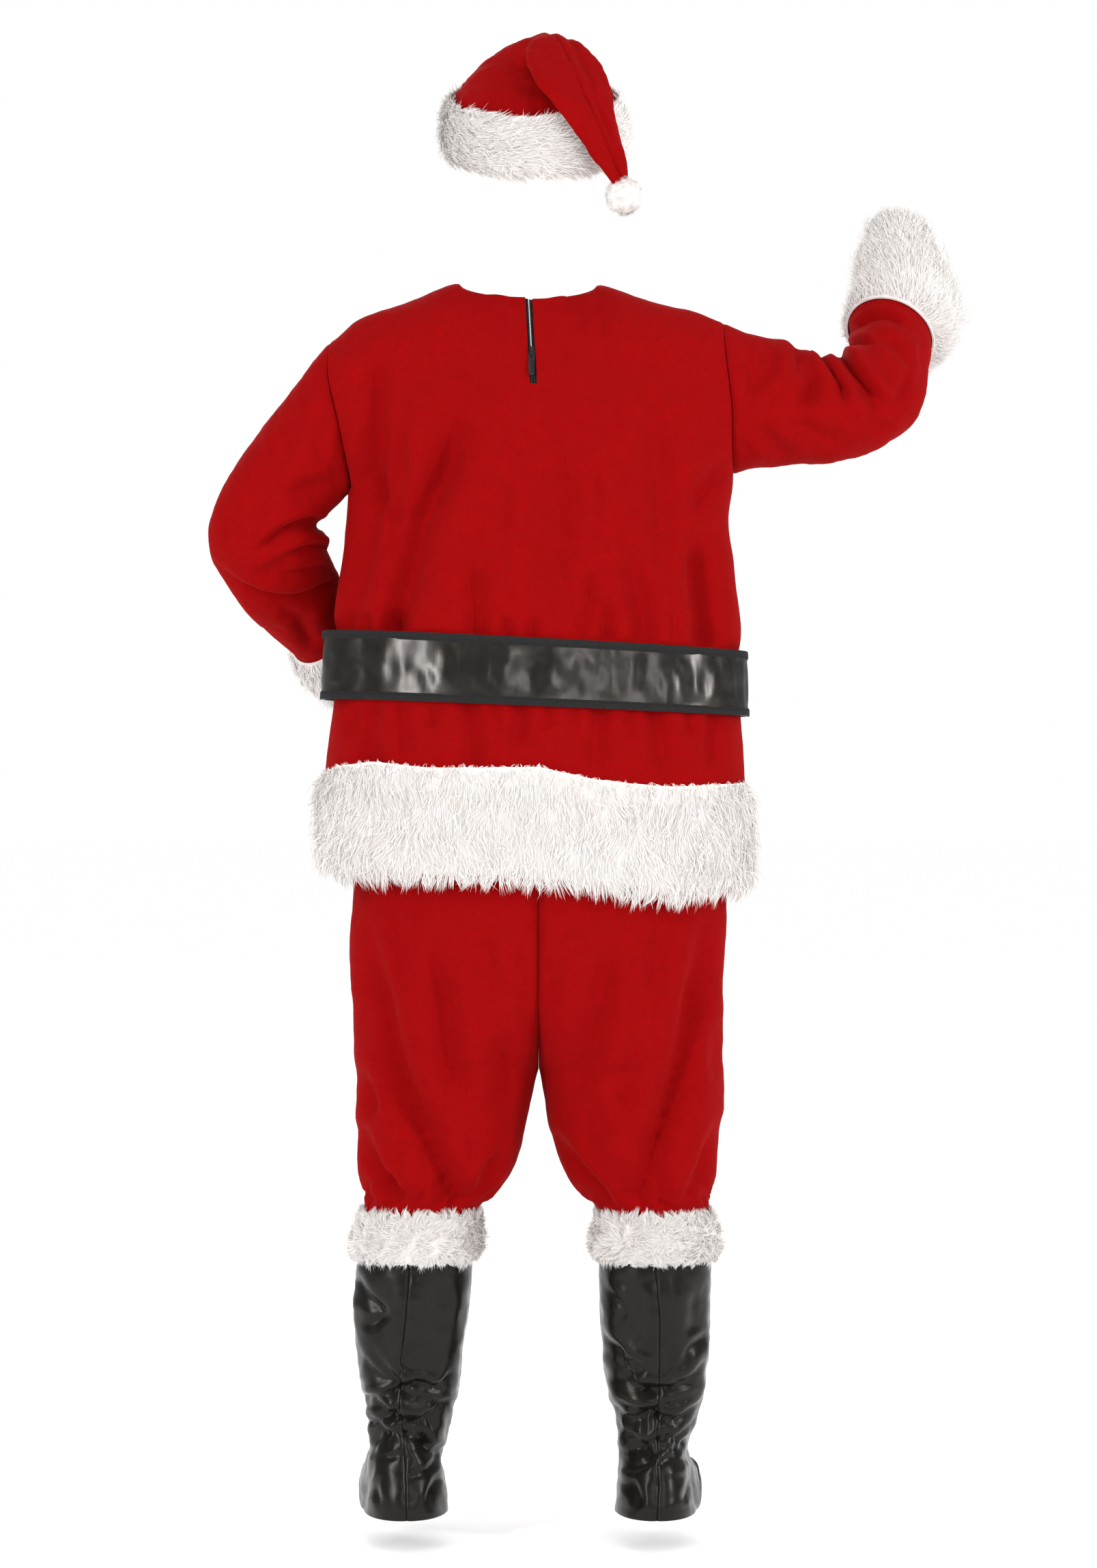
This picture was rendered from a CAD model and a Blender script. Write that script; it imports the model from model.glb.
"""Santa suit as it is worn: the finished cloth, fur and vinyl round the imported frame."""
from collections import namedtuple
from math import pi

import bpy
import numpy as np
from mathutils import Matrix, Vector


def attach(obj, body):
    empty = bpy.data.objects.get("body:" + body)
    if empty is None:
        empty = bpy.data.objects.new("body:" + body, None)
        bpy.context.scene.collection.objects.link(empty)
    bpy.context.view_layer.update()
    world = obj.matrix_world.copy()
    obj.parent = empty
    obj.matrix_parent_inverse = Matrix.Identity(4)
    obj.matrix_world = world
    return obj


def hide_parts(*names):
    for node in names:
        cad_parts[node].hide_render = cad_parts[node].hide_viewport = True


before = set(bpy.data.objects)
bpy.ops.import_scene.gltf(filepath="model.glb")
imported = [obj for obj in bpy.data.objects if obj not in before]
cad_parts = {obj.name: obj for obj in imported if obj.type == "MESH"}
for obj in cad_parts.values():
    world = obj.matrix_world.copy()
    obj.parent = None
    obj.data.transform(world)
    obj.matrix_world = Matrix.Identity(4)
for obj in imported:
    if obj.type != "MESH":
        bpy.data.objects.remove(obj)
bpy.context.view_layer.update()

bl_info = {
    "name": "Santa suit",
    "version": (1, 0, 0),
    "blender": (4, 5, 0),
    "location": "3D View > Sidebar > Santa suit",
    "description": "Makes a worn santa suit: jacket, belt, trousers, boot covers and cap",
    "category": "Object",
}

BODY = "suit"
PULL_BODY = "pull"

# ------------------------------------------------------------------ sizes, in mm
# x runs from the trousers' centre seam, y from the shoulder seams, z from the floor.

MM = 0.001
TAU = 2 * pi
ORIGIN = np.array([12.0, 0.0, 1540.0])
NECK_X = 12
CLOTH = 2
VINYL = 1.6
SEAM = 0.3
BELT_THICK = 3.2
BINDING_THICK = 1.2
BINDING_TALL = 10
BELT_LOW = 1038
BELT_TOP = 1121
BACK_HALF = 248          # half width that places across the back are shares of
SLIT_HALF = 4.5
TAPE_HALF = 11.5
TAPE_SPLIT = 0.8         # half gap between the two tapes
TAPE_THICK = 0.9
CUFF_FAN = 0.5           # how much the raised cuff's fur leans out to its far side
CUFF_EASE = 1            # clearance of a cuff round the end of its sleeve
SHARP_EDGE = 1.05        # angle, in radians, from which an edge is drawn sharp
BEVEL_EDGE = 0.6         # and from which a hard piece's edge is rounded

# Rows and columns of the ringed grids that pieces are made from.
GRIDS = {
    "sleeve": (130, 96), "cuff": (26, 90), "boot": (92, 96), "knee": (20, 96), "hem": (20, 200),
    "crown": (104, 84), "brim": (18, 150), "pompom": (26, 48), "belt": (7, 240),
}

CAMERA_PLACE = (-0.0243, 5.0, -0.5965)
CAMERA_LENS = 92.2
CAMERA_REACH = 200       # in metres
LIGHT_AIM = (0.0, 0.0, -0.55)
# Area lights: name, place, width and height, and power in watts.
LIGHTS = (
    ("right light", (-4.2, 2.2, 0.9), (0.45, 2.4), 104.0),
    ("right front light", (-2.0, 3.8, 0.2), (0.35, 2.2), 20.0),
    ("left light", (2.7, 3.0, 0.4), (0.35, 2.4), 82.0),
    ("middle light", (-0.7, 4.6, 0.7), (0.5, 1.6), 20.0),
    ("far light", (0.8, -3.6, 1.2), (2.4, 2.4), 70.0),
)
CAP_PILE_LIGHTER = 1.06  # the cap's fur is a brighter white than the suit's
ROOM = 1.0               # strength of the even light from all round
ROOM_MIRRORED = 0.3      # and its share in glossy reflections, as in a darker room
FLOOR_HALF = 60000       # half the floor's side, in mm

# ------------------------------------------------------------------ tables, in mm


def numbers(text):
    """Rows of numbers from lines of text."""
    return [[float(word) for word in line.split()] for line in text.strip().splitlines()]


def table(kind, text):
    """Named rows from lines of numbers."""
    return [kind(*row) for row in numbers(text)]


Torso = namedtuple("Torso", "z left right back front tilt")
TORSO = table(Torso, """
925 268 -259 150 -168 .036
960 265 -257 147 -168 .038
1000 260 -255 141 -167 .04
1038 255 -252 133 -165 .042
1080 252 -251 129 -164 .048
1121 252 -250 127 -163 .052
1154 253 -250 129 -162 .036
1197 247 -244 126 -158 .01
1239 241 -239 125 -154 -.01
1275 238 -237 127 -150 -.03
1320 233 -243 129 -145 -.042
""")
SIDE_Y = -8
TORSO_POWER = 2.35

Armhole = namedtuple("Armhole", "left_x left_z right_x right_z")
ARMHOLE = table(Armhole, """
233 1310 -243 1330
237 1336 -240 1356
242 1362 -239 1383
247 1388 -238 1410
253 1414 -235 1437
259 1440 -232 1463
261 1466 -230 1490
260 1491 -230 1516
""")
ARMHOLE_BACK = 74
ARMHOLE_FRONT = -70
ARMHOLE_STEPS = 8

Shoulder = namedtuple("Shoulder", "span left_z right_z")
SHOULDER = table(Shoulder, """
.35 1566 1564
.58 1543 1546
.73 1531 1536
.86 1518 1529
1 1491 1516
""")
SHOULDER_Y = 4
NECK_SPAN = 0.35
NECK_BACK_Y = 64
NECK_FRONT_Y = -78
NECK_BACK_DROP = 24
NECK_FRONT_DROP = 72
SLIT_STEP = 4            # step of the armhole at which the back's slit starts
ROUND_POWER = 2.6        # how squarely the chest turns over to the shoulder
LEAN_POWER = 2.2         # and to the neck

# angle: direction of the ring's upper side in the XZ plane; lean: how far the ring tips
# towards the front; across and deep: its half sizes; fur: height of a cuff's fur.
Ring = namedtuple("Ring", "x y z angle lean across deep fur", defaults=(0.0,))
LEFT_SLEEVE = table(Ring, """
247 0 1400 81 0 92 72
272 0 1369 63 0 74 71
292 -2 1345 48 0 68 70
315 -5 1319 38 0 64 68
335 -9 1288 20 -5 64 67
341 -18 1252 -5 -14 72 66
328 -46 1219 -25 -25 69 62
312 -83 1192 -42 -33 62 56
293 -117 1164 -52 -38 55 53
278 -141 1146 -57 -40 52 52
268 -156 1136 -56 -40 52 52
""")
RIGHT_SLEEVE = table(Ring, """
-236 0 1423 86 0 93 72
-260 0 1420 88 0 84 72
-291 -3 1419 90 0 80 70
-325 -8 1416 88 2 74 68
-358 -14 1413 80 6 69 66
-392 -22 1420 60 12 66 65
-420 -35 1438 42 20 65 62
-436 -54 1462 29 28 57 59
-443 -78 1490 26 36 54 56
-446 -102 1514 28 41 55 56
-449 -113 1524 28 41 55 56
""")
SLEEVE_BLEND = 0.2       # share of a sleeve over which the armhole's loop turns into rings
LEFT_CUFF = table(Ring, """
278 -141 1146 -57 -40 52 52 5
268 -156 1136 -56 -40 52 52 13
256 -171 1124 -54 -40 51 51 16
242 -188 1110 -53 -39 49 49 17
228 -205 1096 -52 -38 47 47 16
216 -220 1083 -52 -38 44 44 12
""")
RIGHT_CUFF = table(Ring, """
-446 -102 1514 28 41 55 56 8
-449 -113 1524 28 41 55 56 20
-460 -132 1549 16 40 52 54 20
-463 -152 1575 10 38 47 49 18
-462 -172 1603 8 36 41 43 15
-464 -190 1630 10 34 34 37 11
-466 -202 1648 12 33 31 34 8
""")

Limb = namedtuple("Limb", "z inner outer back front")


def both_limbs(text):
    """Left and right limbs, from z, left and right inner and outer x, and back and front y."""
    rows = numbers(text)
    left = [Limb(z, inner, outer, back, front) for z, inner, outer, _, _, back, front in rows]
    right = [Limb(z, inner, outer, back, front) for z, _, _, inner, outer, back, front in rows]
    return left, right


LEFT_LEG, RIGHT_LEG = both_limbs("""
378 84 218 -84 -212 64 -66
402 80 217 -80 -211 68 -70
420 72 217 -70 -212 74 -77
434 57 218 -56 -214 82 -86
456 37 222 -36 -218 92 -96
488 23 225 -21 -223 99 -104
520 16 227 -12 -228 102 -108
552 9 225 -7 -231 106 -112
578 3.5 226 -2.5 -230 110 -114
590 0 227 0 -230 112 -116
604 -8 228 8 -229 115 -118
636 -34 229 34 -229 121 -121
687 -95 231 95 -227 128 -125
751 -170 234 170 -232 134 -128
810 -212 230 212 -235 136 -130
880 -228 232 228 -236 134 -132
960 -236 236 236 -236 128 -134
1075 -236 236 236 -236 114 -140
""")
CROTCH_HEIGHT = 590
LEG_LOW = 378
LEG_TOP = 1075
LIMB_POWER = 2.2

LEFT_BOOT, RIGHT_BOOT = both_limbs("""
40 112 218 -94 -197 80 -112
60 113 217 -96 -194 80 -108
85 118 215 -99 -190 73 -98
105 120 212 -99 -187 64 -84
130 116 210 -98 -190 56 -72
160 110 213 -94 -199 56 -68
190 101 218 -87 -207 62 -68
236 94 226 -80 -213 70 -68
300 86 230 -76 -214 76 -68
374 80 224 -74 -216 72 -70
""")
BOOT_LOW = 40
BOOT_TOP = 368
BOOT_FRONT_RISE = 42     # how far the front of the hem rises over the instep
FOOT_SPLAY = 0.22        # sideways run of the foot for its length
FOOT_TOP = 130
# Where the boot covers' back seams run: levels, and x at each.
SEAM_LEVELS = [39, 84, 137, 190, 236, 290, 338]
SEAM_LEFT = [161.5, 163, 166.5, 172.5, 169, 163, 159]
SEAM_RIGHT = [-145, -148, -146, -148, -149, -149, -144]
KNEE_BOOT_LEVELS = [344, 359, 374]   # where the knee fur follows the boot cover
KNEE_LEG_LEVELS = [402, 420]         # and where it follows the trouser leg
KNEE_FUR_LOW = 356       # where the fur's backing starts and ends
KNEE_FUR_TOP = 409
KNEE_BOOT_EASE = 0.6     # clearance of the fur round the boot cover
KNEE_LEG_EASE = 0.9      # clearance of the fur round the trouser leg

# turn: the ring's turn about X, from lying flat (0) to upside down (180);
# swing: its turn about Z.
Crown = namedtuple("Crown", "x y z turn swing wide deep")
CROWN = table(Crown, """
4 -5 1788 22 0 102 107
4 3 1807 22 0 94 99
3 9 1825 24 0 79 82
-2 15 1838 28 3 66 63
-9 26 1846 42 8 47 41
-18 43 1848 64 14 41 27
-25 62 1841 94 20 43 19
-33 80 1822 122 26 50 15
-43 99 1797 146 32 53 13
-56 107 1768 162 38 47 12
-71 102 1738 172 43 38 11
-86 90 1708 178 46 28 9
-101 78 1678 180 48 14 6
""")
BRIM = (4, -14, 1766)    # the brim's middle
BRIM_TILT = 22
BRIM_WIDE = 105
BRIM_DEEP = 110
BRIM_TALL = 88
BRIM_CLOTH = (0.07, 0.85)    # shares of its height where the fur's backing starts and ends
POMPOM = (-105.0, 75.5, 1664.2)
POMPOM_CORE = 20
POMPOM_REACH = 25
HEM_FUR_LOW = 816
HEM_FUR_TOP = 955
HEM_EASE = 0.9           # clearance of the hem fur round the jacket
# How far the strip's backing strays from its levels: x, and the height there.
HEM_LOW_WAVE = ([-255, -210, -162, -100, -41, 28, 122, 212, 240, 255],
                [14, 8, 1, 6, 12, 17, 14, 14, 6, 22])
HEM_TOP_WAVE = ([-255, -162, -110, -65, 0, 60, 133, 201, 245, 262],
                [-1, -9, -7, -3, 9, 6, 3, 8, 1, -7])

BUCKLE_WIDE = 112
BUCKLE_TALL = 98
BUCKLE_BAR = 13
BUCKLE_THICK = 4
PRONG_WIDE = 8

TEETH_STEP = 1.9         # from tooth to tooth along a tape
TEETH_START = (1.0, 1.6)     # where the left tape's first tooth stands, and the right's
TEETH_END = 1.5          # length of tape past the last tooth
SLIDER_Z = 1470
SLIDER_WIDE = 6.6
SLIDER_TALL = 14
SLIDER_BASE = 2.6
BRIDGE_WIDE = 3
BRIDGE_TALL = 10.8
BRIDGE_POST = 1.6
BRIDGE_RISE = 2.4        # free height under the bridge
BRIDGE_THICK = 1.2
PULL_LENGTH = 33
PULL_WIDE = 7.4
PULL_THICK = 1.3
PULL_SLOT = 4            # width of the slot that takes the bridge
PULL_SLOT_LONG = 9
PULL_TIP = 1.6           # how much shorter the corners of the free end are

# A fold is a trough along (x, z) points; start and end are its strength there, and
# sharp makes a crease instead of a soft trough.
FOLD_LEAN = 0.42         # a crease is steeper above its line than below it
FOLD_REACH = 3.6         # how many of its widths off its line a fold ends
CREASE_FALL = 1.7        # how fast a crease's side rises
# The bank beside a trough and beside a crease: its height and place, as shares of the
# fold's depth and width, and the square of its own width.
TROUGH_BANK = (0.16, 2.1, 1.4)
CREASE_BANK = (0.25, 1.6, 0.9)
Fold = namedtuple("Fold", "depth width start end path sharp")


def folds(text):
    """Folds from lines: depth, width, start, end, then each point; + marks a crease."""
    made = []
    for line in text.strip().splitlines():
        *size, path = np.split(np.array(line.lstrip("+").split(), float), [1, 2, 3, 4])
        made.append(Fold(*(value[0] for value in size), path.reshape(-1, 2), line[0] == "+"))
    return made


BACK_FOLDS = folds("""
12 15 .5 .3 202 1446 198 1375 204 1300 218 1210 224 1150
8 12 0 0 172 1430 170 1372 172 1310 184 1240 196 1170
13 19 0 .9 110 1432 106 1350 143 1272 158 1212 178 1137
7 24 0 0 -2 1372 -22 1300 -14 1210 -30 1150
6 17 0 0 -140 1440 -141 1380 -149 1310 -152 1230 -146 1160
12 15 0 1 -194 1256 -199 1190 -206 1124
7 14 0 .9 -112 1240 -122 1180 -129 1126
6 12 0 1 84 1220 76 1175 73 1128
5 8 0 1 234 1162 236 1126
6 9 0 1 214 1158 214 1126
5 8 0 1 182 1160 180 1126
6 10 0 1 -82 1166 -84 1124
4 7 0 1 40 1150 38 1124
4 8 0 1 4 1146 8 1124
5 9 0 .8 -52 1206 -64 1160 -52 1128
4 7 0 1 -163 1160 -166 1124
5 30 0 0 226 1420 120 1452 40 1448
4 26 0 0 -40 1440 -120 1450 -215 1430
5 11 .3 0 226 1330 190 1290 170 1262
5 12 .3 0 -236 1345 -205 1310 -186 1270
3 8 0 0 -60 1330 -72 1290 -70 1252
3 9 0 0 48 1318 40 1280 52 1238
7 12 1 0 204 1036 208 1000 198 955
5 8 1 0 228 1032 232 1002
5 9 1 0 168 1036 164 1002 170 972
4 8 1 0 128 1036 130 1010
7 13 1 .2 84 1036 80 985 86 955
5 8 1 0 52 1036 48 1004
6 11 1 0 22 1036 26 985
4 8 1 0 -12 1036 -10 1008
7 13 1 .2 -76 1034 -70 982 -78 955
4 8 1 0 -44 1034 -42 1000
5 9 1 0 -112 1032 -110 996
8 13 1 .3 -142 1030 -150 985 -162 948
5 8 1 0 -184 1030 -186 1000
6 10 1 0 -214 1028 -210 990 -216 960
""")
FRONT_FOLDS = folds("""
9 18 .4 0 196 1424 190 1360 168 1320 150 1284
8 16 .4 0 -180 1430 -172 1360 -156 1325 -140 1296
10 20 0 1 110 1262 92 1190 88 1126
9 18 0 1 -100 1270 -112 1190 -108 1124
6 15 0 1 10 1226 0 1180 4 1126
6 11 0 1 170 1192 178 1126
6 12 0 1 -186 1198 -192 1124
4 8 0 1 136 1160 138 1126
4 8 0 1 48 1158 50 1126
4 8 0 1 -52 1156 -50 1126
4 8 0 1 -150 1160 -146 1124
5 28 0 0 90 1440 0 1405 -80 1440
4 22 0 0 150 1470 60 1380 20 1330
4 22 0 0 -150 1470 -76 1380 -30 1320
3 10 0 0 60 1300 48 1250 52 1215
7 14 1 0 120 1036 130 975
5 9 1 0 160 1036 164 995
5 9 1 0 204 1034 200 990
6 11 1 0 40 1036 36 985
4 8 1 0 78 1036 82 1002
7 14 1 0 -60 1036 -66 972
4 8 1 0 -20 1036 -16 1004
5 9 1 0 -108 1034 -112 1000
7 12 1 0 -160 1032 -172 975
5 9 1 0 -208 1030 -204 992
""")
LEFT_SLEEVE_FOLDS = folds("""
+11 9 0 .8 350 1226 334 1242 312 1258 280 1270
+9 9 .2 .7 400 1214 372 1190 334 1176 296 1178 262 1196
+8 8 0 .8 336 1212 312 1226 282 1238 262 1240
+6 8 0 .6 326 1196 300 1206 270 1216
6 9 .3 .8 304 1152 290 1126
6 13 0 .6 312 1290 290 1304 256 1314
4 15 0 0 322 1330 350 1275 362 1235
4 10 0 0 372 1290 388 1252 392 1236
5 9 0 0 358 1206 330 1206 300 1218
4 8 0 0 328 1160 300 1152 280 1160
3 10 0 0 300 1390 312 1345 330 1318
4 10 .5 0 262 1400 270 1360 262 1330
""")
RIGHT_SLEEVE_FOLDS = folds("""
+12 9 1 0 -372 1494 -384 1472 -398 1452 -436 1408
+10 8 .8 0 -352 1482 -364 1458 -376 1432 -376 1408
9 10 .6 0 -326 1484 -338 1450 -334 1424 -312 1396
+7 7 1 0 -378 1496 -398 1500 -420 1492
+8 9 .5 0 -392 1518 -418 1534 -446 1532 -468 1512
6 9 .3 0 -388 1444 -408 1424 -424 1396
5 8 .2 0 -424 1506 -446 1490 -466 1462
6 11 .4 0 -290 1492 -282 1458 -260 1424
5 9 .4 0 -318 1484 -322 1442
4 9 .2 0 -254 1484 -262 1440 -250 1400
4 10 0 0 -300 1400 -340 1376 -390 1362
4 9 0 0 -262 1390 -300 1356 -330 1350
5 9 .2 0 -470 1476 -452 1430 -430 1400
4 8 0 0 -476 1500 -484 1462 -470 1430
4 8 0 0 -400 1400 -420 1388 -442 1390
""")
LEFT_LEG_FOLDS = folds("""
13 15 0 .9 209 790 206 735 194 675 180 615 160 560 138 515 118 470 102 436
9 15 0 0 149 775 132 735 119 700 112 630 102 580 98 503
7 9 .3 0 219 587 208 560 202 530
9 9 .5 .8 219 513 206 478 190 456 169 437
7 8 0 .8 45 494 58 470 75 437
4 8 0 1 145 486 141 430
5 13 0 0 172 800 168 740 160 690
4 12 0 0 70 790 60 720 64 660
5 11 0 0 52 640 40 590 46 540
3 9 0 0 84 540 78 500 86 462
4 7 0 1 186 470 180 432
4 7 0 1 118 466 121 430
4 7 0 1 214 462 212 432
3 9 .4 .6 36 760 18 700 10 650
4 12 0 0 222 690 214 640 216 610
""")
RIGHT_LEG_FOLDS = folds("""
13 15 0 .8 -207 790 -202 731 -192 672 -180 612 -164 560 -147 510 -126 440
8 15 0 0 -88 766 -80 700 -70 640 -56 572
9 9 .4 .9 -22 503 -48 467 -82 433
7 9 .4 .8 -222 520 -206 474 -186 437
5 8 0 1 -150 474 -154 430
5 13 0 0 -150 790 -146 720 -132 660
4 11 0 0 -118 640 -104 590 -100 520
4 11 0 0 -224 660 -216 620 -222 570
4 9 0 0 -64 560 -72 520 -66 470
4 7 0 1 -102 470 -104 430
4 7 0 1 -204 464 -208 432
3 9 .4 .6 -30 772 -16 710 -8 652
3 9 0 0 -40 640 -52 600 -44 560
""")
LEG_FRONT_FOLDS = folds("""
10 16 0 .7 60 770 90 680 110 590 122 500 130 434
7 14 0 0 180 760 170 690 186 610
6 12 .5 0 20 640 52 600 76 560
6 10 0 .9 206 520 186 470 170 434
6 10 0 .9 52 500 72 466 88 434
4 8 0 1 150 480 152 432
5 13 0 0 128 800 140 740 132 690
4 10 0 0 110 560 86 520 80 486
""")
LEFT_BOOT_FOLDS = folds("""
+5 9 .6 0 222 330 206 306 190 291 219 272
+6 9 .3 .6 204 246 188 226 173 209 161 192 113 180
+6 8 .5 .5 218 182 173 198 144 207 107 189
+5 8 .6 0 213 150 179 169 166 182
+5 8 0 .5 163 176 146 146 132 121 114 114
+5 8 .4 0 210 114 196 146 167 127
+3 8 0 .3 166 90 138 99 122 112
+6 9 .6 .5 206 184 176 164 150 160 120 176
+6 9 .5 .6 204 132 178 146 152 140 124 122
+4 9 .5 0 216 234 190 210 170 214
+4 8 .4 0 112 214 132 196 150 206 172 188
+4 7 .5 0 206 158 190 140 184 118
+3 7 0 0 140 176 134 150 148 128
+3 7 .3 0 196 110 170 118 150 104
4 14 0 0 200 330 196 290 206 250
3 12 0 0 120 340 126 280 114 240
+3 9 0 0 150 260 166 236 158 216
+3 8 0 .3 122 92 136 70 132 50
+3 9 0 .3 204 84 196 62
""")
RIGHT_BOOT_FOLDS = folds("""
+5 9 .4 .3 -78 262 -104 240 -126 224 -92 206
+6 9 .3 .5 -96 246 -112 214 -140 200 -186 204
+5 8 .5 .5 -90 172 -118 160 -146 176 -196 190
+5 8 .3 .4 -100 148 -124 134 -138 112 -104 96
+4 8 .5 0 -208 262 -186 246 -172 222
+4 8 .4 0 -196 136 -176 120 -160 132
+3 9 .4 0 -84 320 -104 300 -98 276
+6 9 .6 .5 -198 176 -170 160 -146 166 -102 180
+6 9 .5 .6 -188 126 -164 140 -140 134 -104 118
+4 9 .5 0 -206 228 -180 208 -160 218
+4 8 .5 0 -96 220 -118 200 -140 196 -158 184
+4 7 .5 0 -196 154 -176 138 -170 112
+3 7 0 0 -126 172 -134 150 -124 130
+3 7 .3 0 -184 106 -160 114 -142 100
4 14 0 0 -204 334 -196 290 -204 246
3 12 0 0 -110 340 -120 284 -106 240
+3 9 0 0 -150 262 -164 238 -158 218
+3 8 0 .3 -112 90 -124 68 -118 50
+3 9 0 .3 -188 82 -180 60
""")


# ------------------------------------------------------- curves and surfaces


def spline(rows, at):
    """Rows of a table at places between its own, smooth in every column."""
    at = np.asarray(at, float)
    last = len(rows) - 1
    first = np.clip(at.astype(int), 0, last - 1)
    part = (at - first)[..., None]
    before, start = rows[np.maximum(first - 1, 0)], rows[first]
    end, after = rows[first + 1], rows[np.minimum(first + 2, last)]
    bend = 2 * before - 5 * start + 4 * end - after
    turn = 3 * start - before - 3 * end + after
    return start + 0.5 * part * (end - before + part * (bend + part * turn))


def between(rows, at):
    """One named row whose columns are arrays, at places between a table's rows."""
    return type(rows[0])(*np.moveaxis(spline(np.array(rows, float), at), -1, 0))


def at_value(rows, values):
    """Rows where the table's first column, which rises, has these values."""
    return between(rows, np.interp(values, [row[0] for row in rows], np.arange(len(rows))))


def share(value, low, high):
    """0 at low, 1 at high, with soft ends."""
    part = np.clip((value - low) / (high - low), 0, 1)
    return part * part * (3 - 2 * part)


def hill(off, width):
    """1 at nothing off, falling away softly over a width."""
    return np.exp(-(off / width) ** 2)


def points_of(x, y, z):
    """Points from coordinates that spread over one grid."""
    return np.stack(np.broadcast_arrays(x, y, z), -1).astype(float)


def unit(vectors):
    """Vectors brought to a length of 1."""
    size = np.linalg.norm(vectors, axis=-1, keepdims=True)
    return vectors / np.maximum(size, 1e-9)


def ringed(key):
    """A ringed grid's shares of the way up, as a column, and its turns, as a row."""
    rows, columns = GRIDS[key]
    return np.linspace(0, 1, rows)[:, None], TAU * np.arange(columns)[None, :] / columns


def grid_normals(grid, around, outward=1):
    """Unit normals of a grid of points, by the runs to the neighbouring points."""
    up = np.gradient(grid, axis=0)
    side = np.roll(grid, -1, 1) - np.roll(grid, 1, 1) if around else np.gradient(grid, axis=1)
    return unit(np.cross(side, up)) * outward


def pressed(grid, normals, depth, around, outward=1):
    """The grid sunk in by depths, and its new normals."""
    grid = grid - normals * depth[..., None]
    return grid, grid_normals(grid, around, outward)


def turned_toward(normals, edge, weight):
    """Normals drawn to an edge's own direction by a weight for each point."""
    weight = weight[..., None]
    return unit(normals * (1 - weight) + edge * weight)


def runs_along(grid, axis):
    """Length along the rows or columns of a grid, or along a line, from its first point."""
    steps = np.linalg.norm(np.diff(grid, axis=axis), axis=-1)
    start = np.zeros_like(np.take(steps, [0], axis=axis))
    return np.cumsum(np.concatenate([start, steps], axis=axis), axis=axis)


def from_ends(grid, axis):
    """Distance of every point to the two ends of its own row or column."""
    run = runs_along(grid, axis)
    return run, np.take(run, [-1], axis=axis) - run


def size_round(grid):
    """Mean girth and height of a ringed grid."""
    girth = np.linalg.norm(np.roll(grid, -1, 1) - grid, axis=-1).sum(1).mean()
    return girth, runs_along(grid, 0)[-1].mean()


def at_lengths(at, run, line):
    """Values at lengths along a line of points whose own lengths are given."""
    return np.stack([np.interp(at, run, line[:, k]) for k in range(3)], -1)


def fold_depth(points, chosen):
    """How far the folds draw the cloth in at each point, in mm."""
    x, z = points[..., 0], points[..., 2]
    total = np.zeros(x.shape)
    for fold in chosen:
        corners = len(fold.path)
        path = spline(fold.path, np.linspace(0, corners - 1, 4 * corners - 3))
        reach = FOLD_REACH * fold.width
        low, high = path.min(0) - reach, path.max(0) + reach
        near = (x > low[0]) & (x < high[0]) & (z > low[1]) & (z < high[1])
        if not near.any():
            continue
        px, pz = x[near], z[near]
        lengths = np.hypot(*(path[1:] - path[:-1]).T)
        starts = np.append(0, np.cumsum(lengths))
        best = np.full(px.shape, 1e9)
        along, over = np.zeros(px.shape), np.zeros(px.shape)
        heading = np.sign(path[-1, 0] - path[0, 0])
        for k, length in enumerate(lengths):
            run = path[k + 1] - path[k]
            dx, dz = px - path[k, 0], pz - path[k, 1]
            part = np.clip((dx * run[0] + dz * run[1]) / length ** 2, 0, 1)
            gap = np.hypot(dx - part * run[0], dz - part * run[1])
            nearer = gap < best
            best = np.where(nearer, gap, best)
            along = np.where(nearer, (starts[k] + part * length) / starts[-1], along)
            tilt = heading * (run[0] * dz - run[1] * dx) / (length * gap + 0.5)
            over = np.where(nearer, tilt, over)
        wave = best / fold.width
        if fold.sharp:
            wave = wave * (1 + FOLD_LEAN * np.clip(over, -1, 1))
        trough = np.exp(-CREASE_FALL * wave) if fold.sharp else hill(wave, 1)
        high, place, wide = CREASE_BANK if fold.sharp else TROUGH_BANK
        bank = high * np.exp(-(wave - place) ** 2 / wide)
        ends = np.interp(along, [0, 0.3, 0.7, 1], [fold.start, 1, 1, fold.end])
        total[near] += fold.depth * (trough - bank) * ends
    return total


def ripple(points, seed, length=60):
    """Soft unevenness from -1 to 1, a few waves of about this length in mm."""
    rng = np.random.default_rng(seed)
    total = np.zeros(points.shape[:-1])
    for size, weight in ((1, 0.5), (0.55, 0.3), (0.3, 0.2)):
        for _ in range(3):
            way = unit(rng.normal(size=3))
            start = rng.uniform(0, TAU)
            total += weight / 1.7 * np.sin(points @ way * (TAU / (length * size)) + start)
    return total


def kept_in(depth, held):
    """Depths without what would stand out where the cloth is held by a piece over it."""
    return depth + np.maximum(-depth, 0) * held


def seam_roll(near, along, depth, seed):
    """How far the cloth rolls in at a seam: near is the distance, along the run."""
    rng = np.random.default_rng(seed)
    wave = np.sin(along / 2.3 + rng.uniform(0, 6)) + np.sin(along / 3.9 + rng.uniform(0, 6))
    return depth * hill(near, 3) + 0.22 * wave * hill(near - 3.5, 5)


# ------------------------------------------------------------- mesh building


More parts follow.
